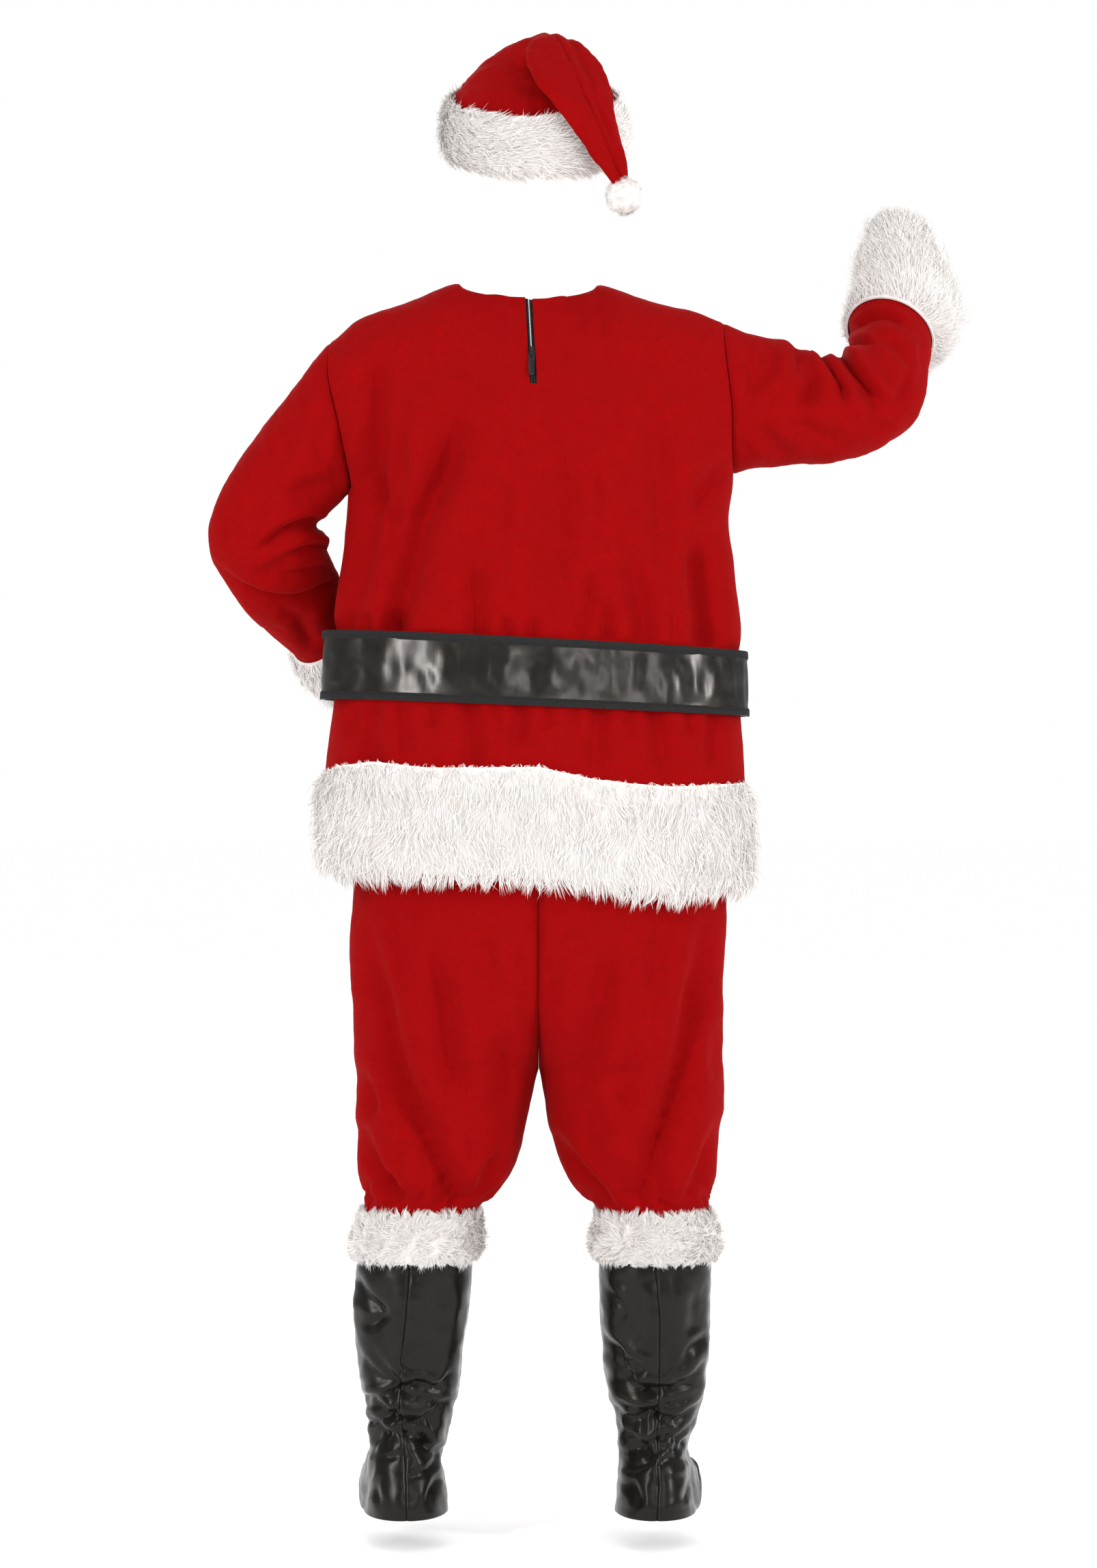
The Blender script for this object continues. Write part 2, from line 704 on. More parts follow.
def mesh_piece(name, points, faces, finish, smooth=True):
    """One object from points in mm and faces that all have the same number of corners."""
    mesh = bpy.data.meshes.new(name)
    mesh.vertices.add(len(points))
    mesh.vertices.foreach_set("co", ((points - ORIGIN) * MM).astype(np.float32).ravel())
    mesh.loops.add(faces.size)
    mesh.loops.foreach_set("vertex_index", faces.astype(np.int32).ravel())
    mesh.polygons.add(len(faces))
    starts = np.arange(0, faces.size, faces.shape[1], dtype=np.int32)
    mesh.polygons.foreach_set("loop_start", starts)
    mesh.update(calc_edges=True)
    mesh.validate()
    if smooth:
        mesh.shade_smooth()
    mesh.materials.append(finish)
    made = bpy.data.objects.new(name, mesh)
    bpy.context.scene.collection.objects.link(made)
    return made


def many(name, corners, faces, finish, smooth, flip=False):
    """One object of many small solids that have the same faces; corners lists their points."""
    points = np.stack(corners, 1)
    starts = np.arange(len(points))[:, None, None] * len(corners)
    faces = (starts + np.array(faces)[None]).reshape(-1, 4)
    if flip:
        faces = faces[:, ::-1]
    return mesh_piece(name, points.reshape(-1, 3), faces, finish, smooth)


def shell(name, outer, inner, finish, around=False, bare=None, flip=False):
    """A closed wall between two grids of points; bare marks the cells left out."""
    if flip:
        outer, inner = outer[:, ::-1], inner[:, ::-1]
    rows, columns = outer.shape[:2]
    cells = columns if around else columns - 1
    number = np.arange(rows * columns).reshape(rows, columns)
    beside = np.roll(number, -1, 1)
    quads = np.stack([
        number[:-1, :cells], beside[:-1, :cells], beside[1:, :cells], number[1:, :cells]
    ], -1)
    kept = np.ones(quads.shape[:2], bool)
    if bare is not None:
        kept &= ~bare
    ringed = np.zeros((rows + 1, cells + 2), bool)
    ringed[1:-1, 1:-1] = kept
    if around:
        ringed[1:-1, 0] = kept[:, -1]
        ringed[1:-1, -1] = kept[:, 0]
    count = rows * columns
    faces = [quads[kept], quads[kept][:, ::-1] + count]
    for side, (r, c) in enumerate(((-1, 0), (0, 1), (1, 0), (0, -1))):
        open_side = kept & ~ringed[1 + r:rows + r, 1 + c:1 + c + cells]
        a, b = quads[..., side][open_side], quads[..., (side + 1) % 4][open_side]
        faces.append(np.stack([b, a, a + count, b + count], -1))
    used, faces = np.unique(np.concatenate(faces), return_inverse=True)
    points = np.concatenate([outer.reshape(-1, 3), inner.reshape(-1, 3)])[used]
    piece = mesh_piece(name, points, faces.reshape(-1, 4), finish)
    piece.data.set_sharp_from_angle(angle=SHARP_EDGE)
    return piece


def settle(piece, slot, *nodes, body=BODY):
    """Tie a piece to its body, its finish and the nodes that it stands for."""
    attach(piece, body)
    if nodes:
        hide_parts(*nodes)
    return piece


def settle_cut(piece, slot, node):
    """Settle a piece that has its own cut, and say how it hangs."""
    settle(piece, slot, node)


# ----------------------------------------------------------- jacket surfaces


def section(size):
    """Depth of a torso section at a share of its half width."""
    return np.clip(1 - size ** TORSO_POWER, 0, 1) ** (1 / TORSO_POWER)


def torso_low(span, z, back):
    """Points of the jacket below the armholes; span runs from -1 right to 1 left."""
    row = at_value(TORSO, z)
    x = span * np.where(span > 0, row.left, -row.right)
    depth = (row.back if back else row.front) - SIDE_Y
    return points_of(x, SIDE_Y + depth * section(np.abs(span)), z + row.tilt * x)


def armhole_edge(left, step, back):
    """Points of an armhole, from the underarm (0) to the shoulder (ARMHOLE_STEPS)."""
    turn = pi * step / ARMHOLE_STEPS
    rise = (1 - np.cos(turn)) / 2
    row = between(ARMHOLE, rise * (len(ARMHOLE) - 1))
    base = SIDE_Y + (SHOULDER_Y - SIDE_Y) * rise
    y = base + (ARMHOLE_BACK if back else ARMHOLE_FRONT) * np.abs(np.sin(turn)) ** 0.9
    return points_of(row.left_x if left else row.right_x, y, row.left_z if left else row.right_z)


def armhole_normal(left, step, back):
    """Outward direction along an armhole seam, between the body's and the sleeve's."""
    turn = pi * step / ARMHOLE_STEPS
    out = (0.4 + 0.6 * share(np.cos(turn), -0.2, 1)) * (1 if left else -1)
    return unit(points_of(out, (1 if back else -1) * np.sin(turn), -np.cos(turn)))


def top_edge(left, size, back):
    """Points of the shoulder seam and the neckline at shares of the way out."""
    end = armhole_edge(left, np.float64(ARMHOLE_STEPS), back)
    row = at_value(SHOULDER, np.maximum(size, NECK_SPAN))
    round_in = np.sqrt(np.clip(1 - (size / NECK_SPAN) ** 2, 0, 1))
    y = SHOULDER_Y + ((NECK_BACK_Y if back else NECK_FRONT_Y) - SHOULDER_Y) * round_in
    drop = (NECK_BACK_DROP if back else NECK_FRONT_DROP) * round_in
    return points_of(NECK_X + size * (end[0] - NECK_X), y,
                     (row.left_z if left else row.right_z) - drop)


def torso_high(left, size, step, back):
    """Points of one half of the jacket above the underarm level (step 0)."""
    level = TORSO[-1].z
    low = torso_low(size if left else -size, level, back)
    top = top_edge(left, size, back)
    edge = armhole_edge(left, step, back)
    first = armhole_edge(left, np.float64(0), back)
    last = armhole_edge(left, np.float64(ARMHOLE_STEPS), back)
    rise = (edge[..., 2] - first[2]) / (last[2] - first[2])
    centre_x = NECK_X * rise
    x = centre_x + size * (edge[..., 0] - centre_x)
    z = low[..., 2] + (top[..., 2] - low[..., 2]) * rise
    round_over = np.clip(1 - rise ** ROUND_POWER, 1e-6, 1) ** (1 / ROUND_POWER)
    lean_in = 1 - rise ** LEAN_POWER
    over = share(size, 0.15, NECK_SPAN + 0.15)
    middle = torso_low(np.float64(0), level, back)[1]
    base = SIDE_Y + (SHOULDER_Y - SIDE_Y) * rise
    reach = section(np.clip((edge[..., 1] - base) / ((middle - base) * round_over), 0, 1))
    depth = top[..., 1] + (middle - top[..., 1]) * (over * round_over + (1 - over) * lean_in)
    made = points_of(x, base + (depth - base) * section(size * reach), z)
    made[:, -1] = edge[:, 0]
    made[-1] = top
    return made


def jacket_surface(back):
    """The panel's smooth outer points, its spans, its count of lower rows and its steps."""
    near_edge = [0.955, 0.968, 0.978, 0.986, 0.992, 0.9965, 1]
    if back:
        at_slit = [SLIT_HALF / BACK_HALF, TAPE_HALF / BACK_HALF]
        half = np.concatenate([at_slit, np.linspace(0.064, 0.94, 44), near_edge])
    else:
        half = np.concatenate([np.linspace(0, 0.94, 44), near_edge])
    levels = np.append(np.arange(925.0, 1315, 6), 1317)[:, None]
    steps = np.linspace(0, ARMHOLE_STEPS, 57)[:, None]
    spans = np.concatenate([-(half[::-1] if back else half[:0:-1]), half])
    low = torso_low(spans[None, :], levels, back)
    right = torso_high(False, half, steps, back)[:, ::-1]
    left = torso_high(True, half, steps, back)
    high = np.concatenate([right if back else right[:, :-1], left], 1)
    grid = evened(np.concatenate([low, high]), len(levels))
    return grid, spans, len(levels), steps[:, 0]


def evened(grid, row):
    """The grid with its rows near one row evened out, its side edges kept."""
    free = share(np.minimum(*from_ends(grid, 1)), 6, 50)
    rows = np.arange(len(grid))[:, None]
    weight = (free * hill(rows - row, 9))[1:-1, :, None]
    for _ in range(60):
        grid[1:-1] += 0.5 * weight * ((grid[:-2] + grid[2:]) / 2 - grid[1:-1])
    return grid


def jacket_panel(name, back, cloth, finish):
    """The jacket's back, with its slit, or its front."""
    grid, spans, low_rows, steps = jacket_surface(back)
    outward = -1 if back else 1
    side_run, side_left = from_ends(grid, 1)
    near_side = np.minimum(side_run, side_left)
    run_up, to_top = from_ends(grid, 0)
    at_shoulder = share(np.abs(spans), NECK_SPAN - 0.02, NECK_SPAN + 0.02)[None, :]
    fade = share(near_side, 0, 22) * share(to_top, 0, 26)
    depth = fold_depth(grid, BACK_FOLDS if back else FRONT_FOLDS)
    depth *= 1 + 0.35 * share(grid[..., 2], 1085, 1130)
    depth *= fade * cloth.fold_strength
    depth += ripple(grid, 11 if back else 12) * cloth.unevenness / MM * fade
    level = grid[:, len(spans) // 2, 2][:, None]
    belted = share(level, BELT_LOW - 12, BELT_LOW - 2) * share(level, BELT_TOP + 12, BELT_TOP + 2)
    depth = kept_in(depth, np.maximum(belted, share(level, HEM_FUR_TOP + 20, HEM_FUR_TOP + 8)))
    seam = cloth.seam_depth / MM
    depth += seam_roll(near_side, run_up, seam, 21 if back else 22)
    depth += seam_roll(to_top, side_run, seam, 23) * at_shoulder
    depth += 0.9 * hill(to_top - 7, 2.2) * (1 - at_shoulder)
    depth += 0.5 * hill(run_up - 12, 2)
    grid, normals = pressed(grid, grid_normals(grid, False, outward), depth, False, outward)
    edge = np.zeros_like(grid)
    edge[:low_rows, :, 0] = np.where(spans > 0, 1, -1)
    for left in (False, True):
        edge[low_rows:, (spans > 0) == left] = armhole_normal(left, steps, back)[:, None]
    normals = turned_toward(normals, edge, hill(near_side, 7))
    level = unit(normals * np.array([1, 0, 1]))
    normals = turned_toward(normals, level, hill(to_top, 7) * at_shoulder)
    grid[..., 1] -= SEAM / 2 * outward
    bare = None
    if back:
        bare = np.zeros((grid.shape[0] - 1, grid.shape[1] - 1), bool)
        slit = low_rows + int(np.argmin(np.abs(steps - SLIT_STEP)))
        bare[slit:, len(spans) - 1 - int(np.argmax(spans > 0))] = True
    return shell(name, grid, grid - normals * CLOTH, finish, bare=bare, flip=back)


# -------------------------------------------------------- sleeves and cuffs


def ring_points(row, turns, grow=0):
    """Points of a ring; turn 0 is its upper side and a quarter turn its back."""
    angle, lean = np.radians(row.angle), np.radians(row.lean)
    upper = points_of(np.cos(angle), 0, np.sin(angle))
    behind = points_of(-np.sin(angle) * np.sin(lean), np.cos(lean), np.cos(angle) * np.sin(lean))
    across = ((row.across + grow) * np.cos(turns))[..., None]
    deep = ((row.deep + grow) * np.sin(turns))[..., None]
    return points_of(row.x, row.y, row.z) + upper * across + behind * deep


def sleeve_piece(name, left, rings, chosen, cloth, finish):
    """A sleeve from its armhole's loop to the rings under the cuff."""
    part, angles = ringed("sleeve")
    turn = angles[0] / TAU
    step = np.where(turn < 0.5, 1 - 2 * turn, 2 * turn - 1) * ARMHOLE_STEPS
    behind = (turn < 0.5)[:, None]
    loop = np.where(behind, armhole_edge(left, step, True), armhole_edge(left, step, False))
    ways = np.where(behind, armhole_normal(left, step, True), armhole_normal(left, step, False))
    extra = loop - ring_points(between(rings, np.zeros((1, 1))), angles)
    blend = 1 - share(part, 0, SLEEVE_BLEND)
    rows = between(rings, part * (len(rings) - 1))
    grid = ring_points(rows, angles) + extra * blend[..., None]
    outward = -1 if left else 1
    run, to_end = from_ends(grid, 0)
    normals = grid_normals(grid, True, outward)
    facing = 0.3 + 0.7 * share(normals[..., 1], -0.3, 0.3)
    fade = share(run, 0, 20) * share(to_end, 0, 14)
    depth = fold_depth(grid, chosen) * fade * facing * cloth.fold_strength
    depth += ripple(grid, 31 if left else 32, 48) * cloth.unevenness / MM * 1.4 * fade
    depth = kept_in(depth, share(to_end, 36, 26))
    around = runs_along(grid, 1)
    depth += seam_roll(run, around, cloth.seam_depth / MM, 33)
    below = np.abs(turn - 0.5) * around.max(1, keepdims=True)
    depth += 0.8 * seam_roll(below, run, cloth.seam_depth / MM, 34)
    grid, normals = pressed(grid, normals, depth, True, outward)
    normals = turned_toward(normals, ways[None], hill(run, 6))
    grid[..., 0] -= SEAM * outward * hill(run, 4)
    return shell(name, grid, grid - normals * CLOTH, finish, around=True, flip=left)


# ------------------------------------------------------------------ trousers


def rounded(turns):
    """Shares of the half sizes at turns round a limb's squarish section."""
    ways = np.cos(turns), np.sin(turns)
    return [np.abs(way) ** (2 / LIMB_POWER) * np.sign(way) for way in ways]


def trouser_leg(name, side, limb, chosen, cloth, finish):
    """One leg, from its tucked end to the waist, closed below the crotch by its inseam."""
    # Levels, closer together round the end of the inseam.
    levels = np.concatenate([np.arange(LEG_LOW, 586, 5.2), [588, 590, 592, 595],
                             np.arange(600.0, 860, 6), np.linspace(866, LEG_TOP, 14)])
    row = at_value(limb, levels[:, None])
    centre = (row.inner + row.outer) / 2
    wide = np.abs(row.outer - row.inner) / 2
    start = np.arccos(np.minimum((np.abs(centre) / wide) ** (LIMB_POWER / 2), 1))
    start = np.where(row.z <= CROTCH_HEIGHT, 0, start)
    across, along = rounded(start + (TAU - 2 * start) * np.linspace(0, 1, 85)[None, :])
    deep = (row.back - row.front) / 2
    middle = (row.back + row.front) / 2
    grid = points_of(centre - side * wide * across, middle + deep * along, row.z)
    first, last = from_ends(grid, 1)
    near = np.minimum(first, last)
    run, _ = from_ends(grid, 0)
    normals = grid_normals(grid, False, -side)
    back_side = share(normals[..., 1], -0.25, 0.25)
    fade = share(near, 0, 16) * share(run, 0, 10)
    level = grid[..., 2]
    depth = 1.2 * fold_depth(grid, chosen) * back_side
    depth += 1.4 * fold_depth(grid * np.array([side, 1, 1]), LEG_FRONT_FOLDS) * (1 - back_side)
    depth *= fade * cloth.fold_strength
    depth += ripple(grid, 41 if side > 0 else 42, 70) * cloth.unevenness / MM * 1.5 * fade
    gathers = np.sin(runs_along(grid, 1) / 5.2 + 2 * ripple(grid, 43))
    depth = kept_in(depth + 2.8 * hill(level - 418, 30) * fade * gathers, share(level, 434, 424))
    depth += seam_roll(near, run, cloth.seam_depth / MM, 44) * share(level, 380, 400)
    depth += 5 * hill(near, 6) * share(level, 590, 620)
    grid, normals = pressed(grid, normals, depth, False, -side)
    above = levels > CROTCH_HEIGHT
    inward = np.zeros_like(normals)
    inward[..., 0] = -side
    edge = np.where(above[:, None, None], unit(normals * np.array([0, 1, 1])), inward)
    normals = turned_toward(normals, edge, hill(near, 6))
    inner = grid - normals * CLOTH
    shift = np.zeros_like(grid)
    shift[..., 0] = side * SEAM / 2
    shift[..., 1] = np.where(first < last, 1, -1) * SEAM / 2 * ~above[:, None]
    shift *= hill(near, 4)[..., None]
    for points in (grid, inner):
        points += shift
        rim = side * points[above][..., 0]
        rim[:, [0, -1]] = SEAM / 2
        points[above, :, 0] = side * np.maximum(rim, SEAM / 2)
    return shell(name, grid, inner, finish, flip=side > 0)


# --------------------------------------------------------------- boot covers


def boot_points(row, side, turns, grow=0):
    """Points of a boot cover's section, its hem raised over the instep."""
    wide = np.abs(row.outer - row.inner) / 2 + grow
    deep = (row.back - row.front) / 2 + grow
    across, along = rounded(turns)
    points = points_of((row.inner + row.outer) / 2 + side * wide * across,
                       (row.back + row.front) / 2 + deep * along, row.z)
    forward = np.maximum(-points[..., 1], 0)
    points[..., 0] += side * FOOT_SPLAY * forward * share(FOOT_TOP - row.z, 0, 60)
    points[..., 2] += BOOT_FRONT_RISE * share(forward, 10, 110) * share(95 - row.z, 0, 55)
    return points


def boot_cover(name, side, limb, chosen, cloth, finish):
    """A glossy tube with its centre-back seam, creased round the ankle."""
    part, turns = ringed("boot")
    levels = BOOT_LOW + (BOOT_TOP - BOOT_LOW) * part
    row = at_value(limb, levels)
    seam_x = np.interp(levels, SEAM_LEVELS, SEAM_LEFT if side > 0 else SEAM_RIGHT)
    off = side * (seam_x - (row.inner + row.outer) / 2) / (np.abs(row.outer - row.inner) / 2)
    at_seam = np.arccos(np.sign(off) * np.abs(off) ** (LIMB_POWER / 2))
    # A column runs along the seam, and those beside it are drawn close.
    part = turns / TAU
    behind = np.where(part < 0.25, 4 * part * at_seam, at_seam + (pi - at_seam) * (4 * part - 1))
    turns = np.where(part > 0.5, turns, behind)
    turns = turns + (at_seam - turns) * 0.72 * np.clip(1 - np.abs(part - 0.25) / 0.08, 0, 1)
    grid = boot_points(row, side, turns)
    normals = grid_normals(grid, True, side)
    run, to_top = from_ends(grid, 0)
    back_side = share(normals[..., 1], -0.25, 0.3)
    fade = share(to_top, 0, 40) * share(run, 0, 8)
    front = fold_depth(grid + np.array([0, 0, 14]), chosen[::2])
    depth = fold_depth(grid, chosen) * back_side + 0.8 * front * (1 - back_side)
    depth *= fade * cloth.fold_strength
    height = grid[..., 2]
    crumple = np.abs(ripple(grid * np.array([1, 1, 1.3]), 51 if side > 0 else 52, 104)) - 0.35
    depth += (2.2 + 2.4 * hill(height - 165, 60)) * crumple * fade
    depth = kept_in(depth, share(height, 332, 342))
    off_seam = np.abs(grid[..., 0] - seam_x)
    pucker = 0.2 * (np.sin(height / 3.1) + np.sin(height / 5.7)) * hill(off_seam, 6)
    depth += share(normals[..., 1], 0.3, 0.6) * (2.2 * hill(off_seam, 1.5) + pucker)
    depth += 0.8 * hill(run - 11, 1.8)
    grid, normals = pressed(grid, normals, depth, True, side)
    return shell(name, grid, grid - normals * VINYL, finish, around=True, flip=side < 0)


# ----------------------------------------------------------------- fur trims

# lock: width of a lock of hair; stand: height of the pile; inside and ends: how far hairs
# are drawn to their lock's tip; flow: the pile's directions round and across the strip.
Trim = namedtuple("Trim", "name count lock length stand inside ends flow seed")
EDGE_BAND = 0.09         # share of a strip's height along each edge that has hairs of its own
EDGE_HAIRS = 0.16        # share of the hairs that grow there
STRAY_HAIRS = 0.12       # share of the hairs that leave their lock
HAIR_WIDTH = 0.0115      # half width of a hair, as a share of its length


def sample(grid, across, around):
    """Points of a ringed grid at shares across its rows and round its columns."""
    rows, columns = grid.shape[:2]
    r = np.clip(across, 0, 1) * (rows - 1)
    low = np.minimum(r.astype(int), rows - 2)
    part = (r - low)[:, None]
    c = (around % 1) * columns
    first = c.astype(int) % columns
    beside = (first + 1) % columns
    side = (c - np.floor(c))[:, None]
    start = grid[low, first] * (1 - side) + grid[low, beside] * side
    end = grid[low + 1, first] * (1 - side) + grid[low + 1, beside] * side
    return start * (1 - part) + end * part


def lock_of(along, across, cell, columns, rows, jitter):
    """For every root the place of its lock's middle, and the lock's number."""
    i, j = np.floor(along / cell[0]).astype(int), np.floor(across / cell[1]).astype(int)
    best = np.full(along.shape, 1e9)
    middle = np.zeros(along.shape + (2,))
    number = np.zeros(along.shape, int)
    for di in (-1, 0, 1):
        for dj in (-1, 0, 1):
            row = np.clip(j + dj, -1, rows) + 1
            column = (i + di) % columns
            u = (i + di + jitter[row, column, 0]) * cell[0]
            v = (row - 1 + jitter[row, column, 1]) * cell[1]
            gap = np.hypot(along - u, across - v)
            nearer = gap < best
            best = np.where(nearer, gap, best)
            middle = np.where(nearer[..., None], np.stack([u, v], -1), middle)
            number = np.where(nearer, row * columns + column, number)
    return middle, number


def fur_pile(trim, base, outward, finish):
    """Long pile on a strip: fine curved hairs that lie down, gathered into locks."""
    rng = np.random.default_rng(trim.seed)
    count = int(trim.count)
    girth, height = size_round(base)
    columns = max(int(round(girth / trim.lock)), 3)
    cell = (girth / columns, trim.lock * 1.5)
    rows = int(np.ceil(height / cell[1]))
    jitter = rng.uniform(0.1, 0.9, (rows + 2, columns, 2))
    u, v = rng.uniform(0, 1, count), rng.uniform(0, 1, count)
    at_edge = rng.uniform(0, 1, count) < EDGE_HAIRS
    v = np.where(at_edge, EDGE_BAND * v + np.where(v > 0.4, 1 - EDGE_BAND, 0), v)
    middle, number = lock_of(u * girth, v * height, cell, columns, rows, jitter)
    heart = sample(base, middle[:, 1] / height, middle[:, 0] / girth)
    root = sample(base, v, u)
    around_way = unit(sample(base, v, u + 0.004) - sample(base, v, u - 0.004))
    across_way = unit(sample(base, v + 0.05, u) - sample(base, v - 0.05, u))
    out = unit(np.cross(around_way, across_way)) * outward
    locks = (rows + 2) * columns
    lock_turn = rng.normal(0, 1, locks)[number]
    lock_size, lock_lift, lock_tint = (
        rng.uniform(low, high, locks)[number] for low, high in ((0.75, 1.15), (0.6, 1.25), (0, 1)))
    lean = trim.flow(v, lock_turn, ripple(root, trim.seed + 3, 90))
    along = lean[0] + rng.normal(0, 0.13, count)
    up = lean[1] + rng.normal(0, 0.12, count)
    stray = rng.uniform(0, 1, count) < STRAY_HAIRS
    along += stray * rng.normal(0, 0.4, count)
    up += stray * rng.normal(0, 0.4, count)
    lie = unit(around_way * along[:, None] + across_way * up[:, None])
    length = trim.length * lean[2] * lock_size * rng.uniform(0.6, 1.1, count)
    edge = np.sin(pi * np.clip(v, 0, 1)) ** 0.4
    stand = trim.stand * lock_lift * (0.4 + 0.6 * edge) * rng.uniform(0.5, 1.1, count)
    stand += stray * rng.uniform(0.2, 0.45, count) * length
    lean_run = np.sqrt(np.maximum(length ** 2 - stand ** 2, (0.4 * length) ** 2))[:, None]
    lock_lie = unit(around_way * lean[0][:, None] + across_way * lean[1][:, None])
    risen = out * (stand * 0.75)[:, None]
    tip = root + risen + lie * lean_run
    beyond = np.abs(v - 0.5)[:, None] * 2
    pulled = (trim.inside + (trim.ends - trim.inside) * beyond ** 5) * (1 - stray[:, None])
    tip += (heart + risen + lock_lie * lean_run - tip) * pulled
    curl = np.cross(out, lie) * (lock_turn * 0.1 * length + rng.normal(0, 0.8, count))[:, None]
    control = root + out * stand[:, None] + lie * lean_run * 0.35 + curl
    root = root - out
    width = (rng.uniform(0.6, 1.3, count) * trim.length * HAIR_WIDTH)[:, None]
    twist = rng.uniform(-0.5, 0.5, count)[:, None]
    points, ways = np.zeros((count, 5, 3)), np.zeros((count, 5, 3))
    for first, t in ((0, 0), (2, 0.5)):
        at = root * (1 - t) ** 2 + control * 2 * t * (1 - t) + tip * t ** 2
        heading = unit((control - root) * (1 - t) + (tip - control) * t)
        flat = unit(np.cross(heading, out) + 1e-6)
        flat = unit(flat * np.cos(twist) + np.cross(heading, flat) * np.sin(twist))
        points[:, first], points[:, first + 1] = at - flat * width, at + flat * width
        ways[:, first:first + 2] = unit(np.cross(flat, heading))[:, None]
    points[:, 4] = tip
    ways[:, 4] = ways[:, 3]
    soft = out + rng.normal(0, 0.08, (count, 3))
    ways = unit(0.75 * ways + 0.45 * soft[:, None]).reshape(-1, 3)
    corners = np.arange(count)[:, None, None] * 5
    faces = (corners + np.array([[0, 1, 3], [0, 3, 2], [2, 3, 4]])[None]).reshape(-1, 3)
    piece = mesh_piece(trim.name, points.reshape(-1, 3), faces, finish)
    tint = np.repeat(0.65 * lock_tint + 0.35 * rng.uniform(0, 1, count), 5)
    for key, values in (("tip", np.tile([0, 0, 0.6, 0.6, 1], count)), ("lock", tint)):
        kept = piece.data.attributes.new(key, "FLOAT", "POINT")
        kept.data.foreach_set("value", values.astype(np.float32))
    piece.data.normals_split_custom_set_from_vertices(ways)
    return piece


def lumps(base, seed, size):
    """Rounded tufts of underfur, in mm over a strip's base."""
    return (1 + ripple(base, seed, size))[..., None]


def trim_piece(trim, inner, base, outward, flip, finish, node):
    """A fur trim: its backing, declared as a sheet, and the pile that stands on it."""
    lumpy = base + grid_normals(base, True, outward) * lumps(base, trim.seed + 7, 38)
    sheet = shell(node + "_backing", lumpy, inner, finish, around=True, flip=flip)
    pile = fur_pile(trim, lumpy, outward, finish)
    settle(sheet, "white_fur", node)
    settle(pile, "white_fur")


def torso_out(span, level, back):
    """Level outward directions of the jacket's section."""
    row = at_value(TORSO, level)
    deep = np.abs((row.back if back else row.front) - SIDE_Y)
    size = np.abs(span)
    toward_x = size ** (TORSO_POWER - 1) / np.where(span > 0, row.left, row.right)
    toward_y = np.clip(1 - size ** TORSO_POWER, 0, 1) ** ((TORSO_POWER - 1) / TORSO_POWER) / deep
    return unit(points_of(toward_x, toward_y if back else -toward_y, 0))


def torso_ring(levels, clear, key):
    """Rings round the jacket at levels, from the right side seam by the back."""
    spans = -np.cos(np.linspace(0, pi, GRIDS[key][1] // 2 + 1))[None, :]
    held = np.maximum(levels, TORSO[0].z)
    rings = [torso_low(half, held, back) + torso_out(half, held, back) * clear
             for half, back in ((spans[:, :-1], True), (spans[:, :0:-1], False))]
    return np.concatenate(rings, 1) + points_of(0, 0, levels - held)


def hem_fur(fur, finish):
    """The broad fur strip round the jacket's lower edge."""
    part, _ = ringed("hem")
    x = torso_ring(np.full((1, 1), HEM_FUR_TOP), 0, "hem")[..., 0]
    low, top = np.interp(x, *HEM_LOW_WAVE), np.interp(x, *HEM_TOP_WAVE)
    wave = points_of(0, 0, low + (top - low) * part)
    levels = HEM_FUR_LOW + (HEM_FUR_TOP - HEM_FUR_LOW) * part

    def flow(v, turn, sway):
        fuzz = (v > 0.955) & (np.sin(v * 4.0e4) > 0.1)
        along = np.where(fuzz, 1.1 * sway + 0.8 * turn, 0.75 * sway + 0.16 * turn)
        return along, np.where(fuzz, 0.5, -1), np.where(fuzz, 0.2, 1 - 0.55 * share(v, 0.9, 1))

    trim = Trim("jacket_hem_pile", 48000 * fur.density, lock=7, length=fur.hem_length / MM,
                stand=5, inside=0.25, ends=0.7, flow=flow, seed=61)
    base = torso_ring(levels, 0, "hem")
    ways = torso_ring(levels, 1, "hem") - base
    clear = 1.4 + 5.6 * share(1 - part, -0.04, 0.2) * share(part, -0.05, 0.08)
    trim_piece(trim, torso_ring(levels, HEM_EASE, "hem") + wave,
               base + ways * clear[..., None] + wave, -1, True, finish, "jacket_hem_fur")


def cuff_furs(fur, finish):
    """Fur round both wrists."""
    def flow(v, turn, sway):
        return 0.35 * sway + 0.16 * turn, 0.95 + 0 * v, 0.75 + 0.4 * v

    for name, left, rings, seed in (
        ("cuff_fur_left", True, LEFT_CUFF, 62), ("cuff_fur_right", False, RIGHT_CUFF, 63)
    ):
        part, turns = ringed("cuff")
        row = between(rings, part * (len(rings) - 1))
        inner = ring_points(row, turns, CUFF_EASE)
        swell = share(part, -0.05, 0.34) * (1 - 0.4 * share(part, 0.7, 1))
        base = ring_points(row, turns, CUFF_EASE + 1.4 + 0.72 * row.fur * swell)
        if not left:
            out = unit(base - inner)
            fan = share(part, 0, 0.2) * share(part, 1, 0.35)
            base = base - out * (row.fur * fan * CUFF_FAN * out[..., 0])[..., None]
        trim = Trim(name + "_pile", 21000 * fur.density, lock=5, length=fur.cuff_length / MM,
                    stand=9, inside=0.12, ends=0.35, flow=flow, seed=seed)
        trim_piece(trim, inner, base, -1 if left else 1, left, finish, name)


